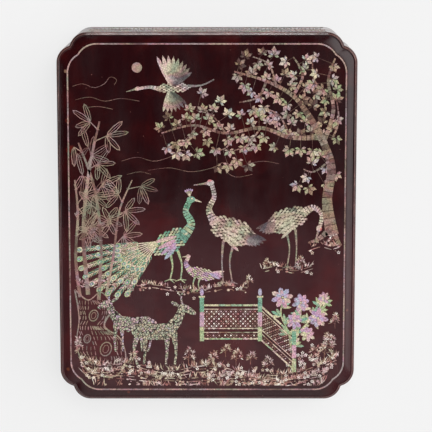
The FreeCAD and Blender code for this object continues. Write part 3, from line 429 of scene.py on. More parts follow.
class Plates:
    """Thin plates of shell on the field of the lid, placed in millimetres from its middle."""

    begun = 0

    def __init__(self, x=0, y=0, scale=1, facing=1, turn=0):
        Plates.begun += 1
        self.sunk = SET_STEP * Plates.begun
        self.laid = 0
        self.mesh = bmesh.new()
        self.tone = self.mesh.faces.layers.float.new("tone")
        self.setting = moved(x, y) @ turned(turn) @ sized(scale * facing, scale)

    def paint(self, made, tone, level):
        """Set plates that were just made in their place, at a share of the full height.

        Plates made one after the other are never quite level, so that none lies in another's plane.
        """
        bmesh.ops.transform(self.mesh, matrix=self.setting, verts=made["verts"])
        self.laid += 1
        for vert in made["verts"]:
            vert.co.z = level - self.sunk - PLATE_STEP * (self.laid % PLATE_STEPS)
        for face in faces_of(made):
            face[self.tone] = tone

    def many_sided(self, place, length, width, angle, sides):
        shape = moved(place[0], place[1]) @ turned(angle - 90) @ sized(width / 2, length / 2)
        return bmesh.ops.create_circle(self.mesh, cap_ends=True, segments=sides, radius=1, matrix=shape)

    def plate(self, place, length, width, angle, sides, tone, level):
        """Many-sided plate, longest along its angle."""
        self.paint(self.many_sided(place, length, width, angle, sides), tone, level)

    def blade(self, foot, angle, length, width, tone, level, sides):
        """Plate that grows from its foot."""
        self.plate(beyond(foot, angle, length / 2), length, width, angle, sides, tone, level)

    def strip(self, path, widths, tone, level, steps=None):
        """Straight strip of plate bent along a path, with its width given at even steps."""
        steps = steps or max(2, 3 * (len(path) - 1))
        made = bmesh.ops.create_grid(self.mesh, x_segments=steps, y_segments=1, size=0.5)
        for vert in made["verts"]:
            share = vert.co.x + 0.5
            place, heading = follow(path, share)
            side = beyond((0, 0), heading + 90, vert.co.y * between(widths, share))
            vert.co = (place + side).to_3d()
        self.paint(made, tone, level)

    def cut(self, points, tone, level, steps=3):
        """Plate cut to a smooth closed outline through the points."""
        closed = points[-1:] + points + points[:2]
        shares = [(1 + number / steps) / (len(closed) - 1) for number in range(steps * len(points))]
        verts = [self.mesh.verts.new(follow(closed, share)[0].to_3d()) for share in shares]
        self.mesh.faces.new(verts)
        self.paint({"verts": verts}, tone, level)

    def ring(self, place, length, width, angle, line, sides, tone, level):
        """Outline of a many-sided plate, as wide as its line."""
        middle = list(faces_of(self.many_sided(place, length, width, angle, sides)))
        rim = bmesh.ops.inset_region(
            self.mesh, faces=middle, thickness=line, use_boundary=True, use_even_offset=True,
        )
        bmesh.ops.delete(self.mesh, geom=middle, context="FACES_ONLY")
        verts = {vert for face in rim["faces"] for vert in face.verts}
        self.paint({"verts": list(verts)}, tone, level)

    def lay(self, name, node, material, body="lid", foot=FIELD, rise=PROUD):
        """Raise the flat shapes into closed plates and put them on their body as one piece."""
        for vert in self.mesh.verts:
            vert.co.z = foot + rise * vert.co.z
        bmesh.ops.recalc_face_normals(self.mesh, faces=self.mesh.faces)
        upside_down = [face for face in self.mesh.faces if face.normal.z < 0]
        bmesh.ops.reverse_faces(self.mesh, faces=upside_down)
        bmesh.ops.translate(self.mesh, verts=extruded(self.mesh), vec=(0, 0, -rise))
        to_metres(self.mesh)
        place_piece(name, self.mesh, material, body, node)


# ---------------------------------------------------------------- the garden inlaid in the lid

# How far the field reaches inside the border string: to a side, to an end, and x and y together at a corner
FIELD_EDGE = 101.5
FIELD_END = 129.5
FIELD_CORNER = 214


def held_inside(place, margin):
    """The place, or the nearest one that stays that far inside the border string."""
    x = max(margin - FIELD_EDGE, min(FIELD_EDGE - margin, place[0]))
    y = max(margin - FIELD_END, min(FIELD_END - margin, place[1]))
    over = max(0, abs(x) + abs(y) + margin - FIELD_CORNER) / 2
    return Vector((x - math.copysign(over, x), y - math.copysign(over, y)))


def fits(place, margin):
    """Whether a place is inside the border string by a margin."""
    return (held_inside(place, margin) - place).length < 0.1


def jointed(plates, path, widths, length, gap=0.4, tones=(0, 1), level=0.8):
    """A stem or limb laid as a row of short plates with narrow joints."""
    count = max(1, round(reach(path) / length))
    slit = gap / (2 * length)
    for number in range(count):
        shares = [(number + part) / count for part in (slit, 0.5, 1 - slit)]
        places = [follow(path, share)[0] for share in shares]
        plates.strip(places, [between(widths, share) for share in shares], chance.uniform(*tones), level, 2)


LIMBS = [
    ([(94, -12), (90, 14), (93, 38), (87, 58), (76, 78)], [10, 7.5, 6.5, 5.5, 4.5]),
    ([(76, 78), (64, 93), (44, 104), (20, 111)], [4.4, 3.2, 2.2, 1.2]),
    ([(85, 62), (62, 62), (40, 69), (14, 65), (-10, 71), (-34, 65)], [4, 3.2, 2.6, 2, 1.6, 1]),
    ([(87, 58), (94, 82), (90, 104), (95, 121)], [3.6, 2.8, 2, 1.2]),
    ([(64, 93), (71, 108), (64, 122)], [2.4, 1.8, 1]),
    ([(44, 104), (38, 92), (24, 88)], [1.8, 1.4, 0.9]),
]
ROOTS = [
    ([(92, -8), (84, -15), (76, -18)], [5, 3, 1]),
    ([(95, -8), (98, -16), (101, -20)], [4, 3, 1.4]),
]
TWIGS = [
    ([(91, 92), (80, 104), (78, 120)], [1.8, 1.2, 0.8]),
    ([(93, 60), (98, 74), (96, 92)], [1.8, 1.2, 0.8]),
    ([(62, 62), (54, 78), (42, 84)], [1.6, 1.2, 0.8]),
    ([(14, 65), (4, 78), (-8, 82)], [1.4, 1, 0.6]),
    ([(40, 69), (30, 56), (20, 52)], [1.4, 1, 0.6]),
    ([(91, 44), (80, 36), (72, 38)], [1.6, 1.2, 0.8]),
    ([(52, 99), (46, 116), (34, 122)], [1.6, 1.2, 0.8]),
    ([(24, 67), (14, 54), (4, 52)], [1.2, 0.9, 0.6]),
    ([(-8, 70), (-16, 60), (-26, 58)], [1.1, 0.8, 0.5]),
]


KNOTS = 24


def lay_tree():
    """Trunk, limbs and roots in short plates, with knots on the trunk."""
    plates = Plates()
    for path, widths in LIMBS + TWIGS + ROOTS:
        jointed(plates, path, widths, 4.2 if widths[0] > 5 else 3.2)
    path, widths = LIMBS[0]
    for number in range(KNOTS):
        share = 0.03 + 0.038 * number
        place, heading = follow(path, share)
        across = between(widths, share) * chance.uniform(-0.3, 0.3)
        plates.ring(beyond(place, heading + 90, across), 3.2, 1.8, heading, 0.35, 8, chance.random(), 1)
    plates.lay("tree_bark_plates", "inlay_tree", bark_pearl)


# A maple leaf's lobes: angle from the middle one and share of its length. Then a lobe's edge, as shares of
# its length along it and aside.
LOBES = [(-100, 0.62), (-50, 0.9), (0, 1), (50, 0.9), (100, 0.62)]
LOBE_EDGE = [(0, 0), (0.3, -0.15), (0.58, -0.27), (0.7, -0.18), (1, 0), (0.7, 0.18), (0.58, 0.27),
             (0.3, 0.15)]


def lobed_leaf(plates, place, radius, turn, tone, level):
    """Maple leaf cut in five lobes, each a plate of its own with a thin dark joint beside it."""
    for aside, share in LOBES:
        angle = turn + aside
        length = radius * share * chance.uniform(0.9, 1.05)
        root = beyond(place, angle, 0.08 * radius)
        corners = [beyond(beyond(root, angle, along * length), angle + 90, out * length)
                   for along, out in LOBE_EDGE]
        plates.cut(corners, tone + chance.uniform(-0.28, 0.28), level, 1)


LEAF_SPACING = 7.1
LEAF_SPRAY = 13
LEAF_TRIES = 14


def leaf_places(paths):
    """Places for leaves beside the paths, none too near another, each with where its stalk starts."""
    places = []
    for path, _ in paths:
        for _ in range(round(LEAF_TRIES * reach(path) / LEAF_SPACING)):
            place, heading = follow(path, chance.uniform(0.06, 1))
            aside = beyond(place, heading + chance.choice((-90, 90)), chance.uniform(0.5, LEAF_SPRAY))
            spot = held_inside(aside, 5.2)
            if all((spot - other).length > LEAF_SPACING for other, _ in places):
                places.append((spot, place))
    return places


def lay_leaves():
    """Maple leaves, each on its stalk, whose colour drifts over the crown."""
    plates = Plates()
    for spot, twig in leaf_places(LIMBS[1:] + TWIGS):
        away = math.degrees(math.atan2(spot.y - twig.y, spot.x - twig.x))
        drift = 0.5 + 0.3 * math.sin(spot.x / 17) * math.cos(spot.y / 13)
        plates.strip([twig, (twig + spot) / 2, spot], [0.4, 0.3, 0.25], 0, 0.3, 2)
        lobed_leaf(plates, spot, chance.uniform(5.1, 6.6), away + chance.uniform(-40, 40),
                   drift + chance.uniform(-0.25, 0.25), chance.uniform(0.4, 0.95))
    plates.lay("tree_leaf_plates", "inlay_tree_leaves", leaf_pearl)


CANES = [
    ([(-90, -58), (-93, -10), (-88, 38), (-80, 74)], [3.2, 2.8, 2.2, 1.2]),
    ([(-82, -62), (-80, -20), (-84, 22), (-96, 58)], [2.8, 2.4, 2, 1.2]),
    ([(-96, -60), (-99, -30), (-97, 4), (-99, 30)], [2.6, 2.2, 1.8, 1]),
    ([(-76, -56), (-70, -24), (-66, 6), (-56, 30)], [2, 1.8, 1.4, 0.8]),
]


CANE_JOINT = 11


def lay_bamboo():
    """Canes with their nodes, and drooping leaves drawn as outlines with a midrib."""
    plates = Plates()
    for cane, (path, widths) in enumerate(CANES):
        jointed(plates, path, widths, CANE_JOINT, 0.9)
        joints = round(reach(path) / CANE_JOINT)
        for number in range(1, joints):
            place, heading = follow(path, number / joints)
            plates.plate(place, 0.7, between(widths, number / joints) + 1.4, heading, 6, 0.9, 1)
            if number < 0.3 * joints:
                continue
            side = 1 if (number + cane) % 2 else -1
            shoot = beyond(place, heading + side * chance.uniform(30, 60), chance.uniform(6, 10))
            shoot = held_inside(shoot, 2)
            plates.strip([place, shoot], [0.8, 0.5], 0.4, 0.6, 1)
            for turn in (20, -28, 62, -70):
                angle = heading + side * 95 + turn + chance.uniform(-10, 10)
                length = chance.uniform(12, 17)
                if not fits(beyond(shoot, angle, length), 1):
                    continue
                level = chance.uniform(0.4, 0.95)
                middle = beyond(shoot, angle, length / 2)
                plates.ring(middle, length, 4.2, angle, 0.55, 8, chance.random(), level)
                midrib = [beyond(shoot, angle, 1), beyond(shoot, angle, length - 1.5)]
                plates.strip(midrib, [0.5, 0.3], chance.random(), level + 0.02, 1)
    plates.lay("bamboo_plates", "inlay_bamboo", line_pearl)


def feathers(plates, centre, long, wide, tilt, size, tones, towards):
    """Rows of small feathers over an oval body, set apart by dark joints."""
    rows = round(wide / (0.33 * size))
    steps = round(2 * long / (0.62 * size))
    for step in range(steps):
        along = (2 * (step + 0.5) / steps - 1) * long
        for row in range(-rows, rows + 1):
            aside = row * 0.68 * size + (0.34 * size if step % 2 else 0)
            if (along / long) ** 2 + (aside / wide) ** 2 > 1:
                continue
            place = beyond(beyond(centre, tilt, along), tilt + 90, aside)
            plates.plate(place, size * 0.9, size * 0.5, tilt + towards * aside, 6,
                         chance.uniform(*tones), 0.3 + 0.55 * step / steps)


def fan(plates, foot, angles, length, width, tone, level, drop=0):
    """Long feathers spread over angles; length, tone and level are each a first value and a step."""
    for number, angle in enumerate(angles):
        long, shade, high = (first + step * number for first, step in (length, tone, level))
        plates.blade((foot[0], foot[1] - drop * number), angle, long, width, shade, high, 8)


def legs(plates, *paths):
    """Bird's legs, each down to a foot with three toes."""
    for path in paths:
        plates.strip(path, [2.2, 1.1, 1], 0.3, 0.5, 6)
        foot = path[-1]
        for angle in (-8, -40, 200):
            plates.strip([foot, beyond(foot, angle, 4.4)], [0.9, 0.4], 0.3, 0.6, 1)


def crane(plates, neck, widths, head, beak_angle):
    """Standing crane that looks to the right, drawn about its feet."""
    legs(plates, [(-4, 30), (-1, 16), (-3, 0)], [(4, 32), (5, 16), (4, 0)])
    fan(plates, (-14, 39), range(202, 258, 11), (17, -1.2), 3.4, (0.02, 0.05), (0.35, 0.05))
    feathers(plates, (-4, 40), 19, 10, 22, 3.9, (0.2, 0.72), 1.2)
    fan(plates, (4, 46), range(188, 225, 9), (21, -1), 2.7, (0.4, 0.08), (0.93, 0), 2.5)
    jointed(plates, neck, widths, 2, 0.45, (0.3, 0.7))
    plates.plate(head, 6, 4.6, beak_angle, 10, 0.5, 0.95)
    plates.plate(beyond(head, beak_angle + 80, 1.8), 3.6, 1.6, beak_angle, 6, 0.95, 1)
    plates.strip([beyond(head, beak_angle, 2.2), beyond(head, beak_angle, 13)], [2, 0.5], 0.3, 0.9, 2)


def lay_cranes():
    """One crane that stands upright, one that bends to feed and one that flies over."""
    upright = Plates(16, -48, scale=0.97, facing=-1)
    crane(upright, [(10, 46), (15, 57), (11, 67), (13, 77)], [8, 4.6, 3.4, 3.2], (14, 78), -8)
    upright.lay("crane_upright_plates", "inlay_crane_upright", bird_pearl)
    bending = Plates(63, -36, scale=0.88)
    crane(bending, [(10, 46), (19, 51), (26, 45), (25, 35)], [8, 4.8, 3.6, 3.2], (24, 33), -105)
    bending.lay("crane_bending_plates", "inlay_crane_bending", bird_pearl)
    flying = Plates(-24, 98, facing=-1, turn=8)
    flying.strip([(-10, 1), (-20, 0), (-30, 3)], [2, 1.2, 0.8], 0.25, 0.5, 6)
    fan(flying, (4, 0), range(-132, -60, 11), (17, 0), 3, (0.05, 0.08), (0.3, 0))
    fan(flying, (2, 2), range(72, 156, 10), (25, -0.8), 3.6, (0.66, -0.07), (0.4, 0.05))
    feathers(flying, (0, 1), 12, 3.8, 6, 2.8, (0.3, 0.7), 1)
    jointed(flying, [(10, 1), (18, 4), (26, 4)], [3.6, 2.2, 2.2], 2.2, 0.3, (0.42, 0.62))
    flying.plate((27.5, 4), 4.2, 2.8, 0, 8, 0.5, 0.95)
    flying.plate((27, 5.2), 2.4, 1, 10, 6, 0.8, 1)
    flying.strip([(29, 4), (36, 3)], [1.4, 0.4], 0.3, 0.9, 1)
    flying.lay("crane_flying_plates", "inlay_crane_flying", bird_pearl)


def train_feather(plates, root, angle, length):
    """A long shaft with barbs on both sides and eyes towards its end."""
    tip = beyond(root, angle, length)
    plates.strip([root, tip], [0.9, 0.5], 0.5, 0.35, 1)
    for number in range(round(0.75 * length / 2.2)):
        place = beyond(root, angle, 0.25 * length + 2.2 * number)
        for side in (-28, 28):
            plates.blade(place, angle + side, 4.6, 0.8, chance.uniform(0, 0.6), 0.4, 4)
    for share in (0.52, 0.76, 1):
        eye = beyond(root, angle, share * length)
        plates.plate(eye, 5.6, 4.2, angle, 10, 0.45 + chance.uniform(-0.15, 0.1), 0.7)
        plates.plate(beyond(eye, angle, 0.3), 3.5, 2.6, angle, 8, 0.02 + chance.uniform(0, 0.14), 0.85)
        plates.plate(beyond(eye, angle, 0.5), 1.6, 1.2, angle, 6, 0.75 + chance.uniform(-0.1, 0.15), 1)


def peacock(plates):
    """Peacock that looks to the right, whose train sweeps down behind it."""
    for number in range(9):
        train_feather(plates, (-6, 29), 186 + 6.6 * number, 62 - 0.42 * (number - 2) ** 2)
    legs(plates, [(2, 21), (4, 10), (2, 0)], [(8, 22), (11, 11), (10, 0)])
    feathers(plates, (2, 28.5), 15, 8.6, 32, 3.4, (0, 0.5), 1.4)
    fan(plates, (7, 33), range(196, 230, 11), (17, -1), 3.2, (0.62, 0.1), (0.93, 0), 2.4)
    jointed(plates, [(10, 31), (18, 42), (14, 52), (17, 60)], [10, 6, 4.4, 4], 2, 0.3, (0, 0.35))
    plates.plate((18, 61), 6.4, 5, 0, 10, 0.15, 0.95)
    plates.plate((18.6, 61.6), 1.6, 1.2, 0, 6, 0.5, 1)
    plates.strip([(20, 61), (26, 59)], [2, 0.4], 0.5, 0.9, 1)
    for angle in (70, 84, 98, 112, 126):
        plates.strip([(17, 63), beyond((17, 63), angle, 4.6)], [0.4, 0.4], 0.5, 0.7, 1)
        plates.plate(beyond((17, 63), angle, 5.4), 2, 1.3, angle, 6, 0.85, 0.9)


def peahen(plates):
    """Peahen that looks to the right, drawn about its feet."""
    legs(plates, [(-1, 13), (1, 7), (0, 0)], [(5, 14), (7, 7), (6, 0)])
    fan(plates, (-12, 19), range(172, 209, 12), (17, -1), 3.6, (0.55, 0.1), (0.35, 0.05))
    feathers(plates, (-3, 18.5), 15, 7, 14, 3.6, (0.3, 0.75), 1.2)
    jointed(plates, [(9, 21), (15, 30), (12, 38)], [8, 4.8, 3.6], 2, 0.3, (0.45, 0.8))
    plates.plate((12.4, 39), 5.2, 4.2, 0, 10, 0.6, 0.95)
    plates.strip([(14, 39), (19.4, 38)], [1.8, 0.4], 0.5, 0.9, 1)


def lay_peafowl():
    """Peacock and its hen, who faces it."""
    plates = Plates(-30, -46)
    peacock(plates)
    plates.setting = Plates(-6, -54, scale=0.66, facing=-1).setting
    peahen(plates)
    plates.lay("peafowl_plates", "inlay_peafowl", bright_pearl)


def deer(plates, tone):
    """Standing stag that looks to the right, drawn about its feet."""
    for hip, knee, foot, paler, level in (
        (-17, -21, -18, 0.25, 0.45), (9, 9, 8, 0.25, 0.45), (-11, -11, -12, 0, 0.6), (15, 17, 16, 0, 0.6),
    ):
        plates.strip([(hip, 29), (knee, 14), (foot, 0)], [6.5, 2.4, 1.9], tone + paler, level, 8)
    plates.strip([(22.4, 62), (19, 66), (15, 72)], [1.3, 1, 0.5], 0.9, 0.5, 4)
    plates.strip([(23, 55), (22, 64), (28, 72)], [1.8, 1.4, 0.6], 0.9, 0.6, 8)
    plates.strip([(24.2, 68), (22, 71), (21.5, 75)], [1, 0.8, 0.5], 0.9, 0.6, 4)
    body = [(-20, 26), (-6, 23), (10, 24), (18, 30), (14, 38), (-4, 37), (-18, 38), (-23, 32)]
    plates.cut(body, tone, 0.75)
    plates.strip([(11, 32), (19, 42), (22.5, 51)], [13, 8.4, 6.4], tone + 0.1, 0.85, 8)
    plates.cut([(18.6, 52), (23, 49), (33, 46), (35, 48.4), (28, 54.4), (22, 56)], tone + 0.15, 0.95)
    plates.blade((20, 54), 152, 8.6, 3.6, tone + 0.3, 0.9, 8)
    plates.blade((-21, 35), 215, 8, 3.4, 0.95, 0.9, 8)
    for number in range(11):
        spot = (-16 + 3 * number + chance.uniform(-0.8, 0.8), 31 + (2.4 if number % 2 else -0.6))
        plates.plate(spot, 1.9, 1.6, 0, 6, 1, 1)


def lay_deer():
    """Two stags: a nearer one, and one that looks the other way behind it."""
    plates = Plates(-38, -112, scale=0.84)
    deer(plates, 0.3)
    plates.setting = Plates(-58, -102, scale=0.72, facing=-1).setting
    deer(plates, 0.6)
    plates.lay("deer_plates", "inlay_deer", cracked_pearl)


ROCK = [(-100, -54), (-90, -62), (-80, -56), (-72, -68), (-78, -82), (-66, -92), (-62, -108), (-70, -121),
        (-90, -117), (-99, -98), (-97, -76)]
ROCK_HOLES = [((-86, -74), 4.4), ((-77, -100), 5.4), ((-91, -92), 3.4)]
FURROWS = 13
FURROW_PIECES = 14


def rock_sides(y):
    """Left and right ends of the rock at one height."""
    inside = [step / 2 for step in range(-204, -116) if lies_inside(Vector((step / 2, y)), ROCK)]
    return inside[0], inside[-1]


def in_hole(place):
    return any((place - Vector(centre)).length < 1.25 * radius for centre, radius in ROCK_HOLES)


def lies_inside(place, outline):
    """Whether a place lies inside a closed outline."""
    crossings = 0
    for start, end in pairs_round(outline):
        if (start[1] > place.y) != (end[1] > place.y):
            share = (place.y - start[1]) / (end[1] - start[1])
            crossings += place.x < start[0] + share * (end[0] - start[0])
    return crossings % 2 == 1


def lay_rock():
    """Eroded garden rock: a contour, the rims of its holes and the furrows that run down it."""
    plates = Plates()
    plates.strip(ROCK + ROCK[:1], [1.2, 0.7, 1.3, 0.8, 1.2, 0.7, 1.2], 0.6, 0.4, 66)
    for centre, radius in ROCK_HOLES:
        plates.ring(centre, 2.2 * radius, 1.7 * radius, 70, 0.8, 12, 0.7, 0.4)
        plates.ring(centre, 1.3 * radius, 0.9 * radius, 70, 0.45, 8, 0.3, 0.4)
    for line in range(FURROWS):
        path = []
        for y in range(-117, -57, 5):
            left, right = rock_sides(y)
            sway = 1.1 * math.sin(0.33 * y + 0.7 * line)
            path.append((left + (right - left) * (line + 0.5) / FURROWS + sway, y))
        for piece in range(FURROW_PIECES):
            shares = [(piece + share) / FURROW_PIECES for share in (0.08, 0.5, chance.uniform(0.8, 0.94))]
            ends = [follow(path, share)[0] for share in shares]
            if all(lies_inside(end, ROCK) and not in_hole(end) for end in ends):
                plates.strip(ends, [0.35, chance.uniform(0.55, 1), 0.35], chance.random(), 0.25, 3)
    plates.lay("rock_plates", "inlay_rock", line_pearl)


def post(plates, x, y, height):
    """Square post in three colours, with a cap and a bud-shaped finial."""
    for number, tone in enumerate((0.35, 0.72, 0.12)):
        foot, top = (y + height / 3 * step for step in (number, number + 1))
        plates.strip([(x, foot + 0.2), (x, top - 0.2)], [3.2, 3.2], tone, 0.9, 1)
    plates.strip([(x, y + height), (x, y + height + 1.2)], [4.6, 4.6], 0.45, 1, 1)
    plates.blade((x, y + height + 1), 90, 6, 3, 0.9, 0.95, 8)


def rail(plates, start, end, rise, width):
    """Rail of the fence, raised above the ground line from start to end."""
    path = [Vector(place) + Vector((0, rise)) for place in (start, end)]
    jointed(plates, path, [width, width], 7, 0.35, (0.2, 0.6), 0.85)


def lattice(plates, start, end, low, high, pitch):
    """Crossed laths with a small square in each mesh, between two rails."""
    run = Vector(end) - Vector(start)
    across = round(run.length / pitch)
    rows = max(1, round((high - low) / pitch))
    stud = 1.05 if run.y else 1.5

    def spot(column, row):
        return Vector(start) + run * column / across + Vector((0, low + (high - low) * row / rows))

    for column in range(across):
        for row in range(rows):
            corners = [spot(column + dx, row + dy) for dx, dy in ((0, 0), (1, 1), (0, 1), (1, 0))]
            plates.strip(corners[:2], [0.24, 0.24], chance.uniform(0, 0.3), 0.6, 1)
            plates.strip(corners[2:], [0.24, 0.24], chance.uniform(0, 0.3), 0.5, 1)
            for dx, dy in ((0.5, 0), (0, 0.5)):
                plates.plate(spot(column + dx, row + dy), stud, stud, 45, 4, chance.uniform(0.8, 1), 0.8)


# Rise and width of the fence's rails, and the lowest and highest end and the pitch of its lattices
RAILS = [(0, 1.1), (5, 0.6), (8, 0.6), (23, 0.6), (26, 1.4)]
LATTICES = [(8, 23, 3.8), (0.5, 4.6, 4.2)]


def lay_fence():
    """Garden railing in two runs that meet at a post."""
    laths = Plates()
    frames = Plates()
    for start, end in (((-4, -92), (40, -92)), ((40, -92), (66, -116))):
        for rise, width in RAILS:
            rail(frames if width > 1 else laths, start, end, rise, width)
        for low, high, pitch in LATTICES:
            lattice(laths, start, end, low, high, pitch)
    for place in ((-4, -94, 34), (40, -94, 34), (66, -118, 32)):
        post(frames, *place)
    laths.lay("fence_lath_plates", "inlay_fence", pale_pearl)
    frames.lay("fence_frame_plates", "inlay_fence", bright_pearl)


STEMS = [
    [(64, -104), (62, -88), (56, -74), (57, -62)],
    [(64, -104), (68, -90), (76, -80), (84, -76)],
    [(62, -90), (70, -78), (71, -66)],
    [(76, -80), (84, -70), (88, -62)],
]
FLOWERS = [(57, -60, 8), (71, -64, 7), (84, -76, 7.5), (66, -78, 6.5), (76, -88, 6), (88, -61, 5)]


# A flower's three rings of petals: how many, their share of its size, and their level
PETAL_RINGS = [(8, 1, 0.7), (6, 0.68, 0.83), (4, 0.4, 0.93)]


def lay_peony():
    """Peony with leaves in threes along its stems and full flowers at their ends."""
    plates = Plates()
    for path in STEMS:
        plates.strip(path, [1.5, 1.2, 1, 0.7], 0.35, 0.4)
        for number in range(5):
            place, heading = follow(path, 0.18 + 0.16 * number)
            side = 52 if number % 2 else -52
            for turn in (-30, 0, 30):
                plates.blade(place, heading + side + turn, chance.uniform(6, 8.5), 2.4,
                             chance.uniform(0.1, 0.6), chance.uniform(0.45, 0.6), 6)
    for x, y, radius in FLOWERS:
        tone = chance.uniform(0.5, 0.85)
        for petals, share, level in PETAL_RINGS:
            shift = chance.uniform(0, 60)
            for number in range(petals):
                angle = shift + 360 * number / petals
                plates.blade(beyond((x, y), angle, 0.12 * radius), angle + chance.uniform(-7, 7),
                             0.9 * share * radius * chance.uniform(0.82, 1.15), 0.5 * share * radius,
                             tone + chance.uniform(-0.24, 0.2), level + 0.008 * number, 7)
        plates.plate((x, y), 1.8, 1.8, 0, 6, 0.45, 1)
    plates.lay("peony_plates", "inlay_peony", bright_pearl)


CLOUDS = [
    [(-100, 100), (-92, 102), (-84, 99), (-76, 102), (-72, 107), (-67, 105), (-69, 101)],
    [(-98, 90), (-87, 92), (-76, 89), (-64, 91), (-50, 89)],
    [(-91, 84), (-81, 85), (-70, 83)],
    [(-64, 44), (-52, 47), (-40, 44), (-28, 47), (-20, 52), (-13, 50), (-15, 45), (-20, 46)],
    [(-44, 37), (-28, 39), (-12, 36), (4, 39), (12, 43), (18, 40), (15, 36), (22, 32), (34, 34)],
    [(30, 42), (42, 44), (54, 42)],
    [(-60, 34), (-50, 36), (-42, 34)],
]


def lay_moon_and_clouds():
    """Small full moon over thin bands of cloud."""
    plates = Plates()
    plates.plate((-52, 114), 7.6, 7.6, 0, 24, 0.5, 0.8)
    for path in CLOUDS:
        jointed(plates, path, [0.25, 0.38, 0.44, 0.38, 0.25], 6, 0.3, (0, 0.25))
    plates.lay("moon_and_cloud_plates", "inlay_moon_and_clouds", line_pearl)


def tuft(plates, place, height, blades):
    """Grass blades that fan out from one foot."""
    for _ in range(blades):
        lean = 90 + chance.uniform(-46, 46)
        length = height * chance.uniform(0.5, 1)
        foot = Vector(place) + Vector((chance.uniform(-1.8, 1.8), 0))
        if fits(beyond(foot, lean, length), 0.6):
            plates.blade(foot, lean, length, chance.uniform(0.45, 0.75), chance.random(),
                         chance.uniform(0.3, 0.6), 4)


def pebble(plates, place):
    length = chance.uniform(0.8, 2.2)
    plates.plate(held_inside(place, 1.6), length, length * chance.uniform(0.5, 0.9),
                 chance.uniform(-25, 25), 7, chance.random(), chance.uniform(0.4, 0.7))


def blossom(plates, place):
    """Five small petals round an open middle."""
    middle = held_inside(place, 2)
    tone = chance.choice((0.35, 0.95, 1))
    for angle in range(18, 360, 72):
        plates.plate(beyond(middle, angle, 0.85), 1.1, 0.75, angle, 5, tone, 0.66)


def sprig(plates, place, height):
    """Small shrub: a bent stalk whose twigs end in sprays of narrow leaves."""
    lean = chance.uniform(72, 108)
    tip = beyond(place, lean, height)
    plates.strip([place, beyond(place, lean + 8, height / 2), tip], [0.6, 0.45, 0.3], 0.1, 0.4, 3)
    twigs = max(3, round(height / 2.2))
    for number in range(twigs):
        side = -1 if number % 2 else 1
        share = 0.35 + 0.65 * number / (twigs - 1)
        start = place.lerp(tip, share)
        angle = lean + side * chance.uniform(48, 78)
        knot = held_inside(beyond(start, angle, height * chance.uniform(0.16, 0.36) * (1.3 - share)), 3.6)
        plates.strip([start, knot], [0.4, 0.3], 0.1, 0.42, 1)
        for turn in (-76, -38, 0, 38, 76):
            angle = lean + side * 40 + turn + chance.uniform(-10, 10)
            plates.blade(beyond(knot, angle, 0.3), angle, chance.uniform(1.9, 3.2), 0.75,
                         chance.uniform(0.2, 1), chance.uniform(0.5, 0.66), 4)


# Banks of earth, the two low ones first
BANKS = [
    [(-97, -108), (-80, -113), (-58, -111), (-30, -117), (0, -113), (30, -118), (60, -120), (84, -113),
     (98, -106)],
    [(-95, -119), (-60, -119), (-20, -123), (20, -121), (56, -125), (92, -118)],
    [(76, -22), (86, -19), (94, -21), (101, -19)],
    [(-60, -53), (-44, -50), (-24, -53), (-4, -54), (14, -51), (30, -53)],
    [(42, -38), (54, -36), (66, -39), (80, -35)],
    [(-98, -48), (-88, -50), (-76, -47), (-68, -50)],
]
LOW_BANKS = 2
# A bank's lines of earth, height of grass, spacing of pebbles and how far down they lie, spacing of blossoms
LOW_BANK = (3, 6.5, 1.5, 9, 5)
HIGH_BANK = (2, 5, 2.6, 4, 9)
EARTH_LENGTH = 9
EDGE_TUFTS = 46
SPRIGS = [(-96, -106, 14), (-56, -112, 9), (-14, -113, 12), (4, -112, 9), (14, -106, 8), (22, -113, 11),
          (33, -112, 8), (46, -118, 10), (80, -112, 13), (89, -110, 17), (96, -104, 15), (97, -84, 10),
          (72, -38, 8), (96, -20, 9), (-60, -52, 7), (46, -38, 6), (31, -52, 7)]
BLOSSOM_PATCHES = [((76, -108), 26), ((-44, -116), 12), ((8, -117), 12)]


def strewn(path, spacing):
    """Random places along a path, one for every spacing of its length."""
    for _ in range(round(reach(path) / spacing)):
        yield follow(path, chance.random())[0]


def lay_ground():
    """Banks of earth with grass, pebbles and blossoms, and small shrubs here and there on them."""
    plates = Plates()
    for number, bank in enumerate(BANKS):
        lines, grass, pebbles, depth, blossoms = LOW_BANK if number < LOW_BANKS else HIGH_BANK
        for line in range(lines):
            drop = Vector((0, -2.3 * line))
            path = [held_inside(Vector(place) + drop, 1) for place in bank]
            pieces = round(reach(bank) / EARTH_LENGTH)
            for piece in range(pieces):
                ends = (chance.uniform(0, 0.3), 0.5, chance.uniform(0.6, 0.98))
                shares = [(piece + share) / pieces for share in ends]
                swell = Vector((0, chance.uniform(-0.9, 0.9)))
                plates.strip([follow(path, share)[0] + swell * share for share in shares],
                             [0.25, chance.uniform(0.4, 0.7), 0.25], chance.random(), 0.5, 3)
        for place in strewn(bank, 3):
            tuft(plates, place, grass, 4)
        for place in strewn(bank, pebbles):
            pebble(plates, place + Vector((0, chance.uniform(-depth, 1))))
        for place in strewn(bank, blossoms):
            blossom(plates, place + Vector((0, chance.uniform(-7, 4))))
    for _ in range(EDGE_TUFTS):
        tuft(plates, held_inside((chance.uniform(-94, 94), 0.6 - FIELD_END), 0.5), 7, 3)
    for x, y, height in SPRIGS:
        sprig(plates, Vector((x, y)), height)
    for middle, number in BLOSSOM_PATCHES:
        for _ in range(number):
            blossom(plates, Vector(middle) + Vector((chance.gauss(0, 6.5), chance.gauss(0, 4))))
    plates.lay("ground_plates", "inlay_ground", pale_pearl)


lay_tree()
lay_leaves()
lay_bamboo()
lay_cranes()
lay_peafowl()
lay_deer()
lay_rock()
lay_fence()
lay_peony()
lay_moon_and_clouds()
lay_ground()


# ---------------------------------------------------------------- lid board, strings and side bands

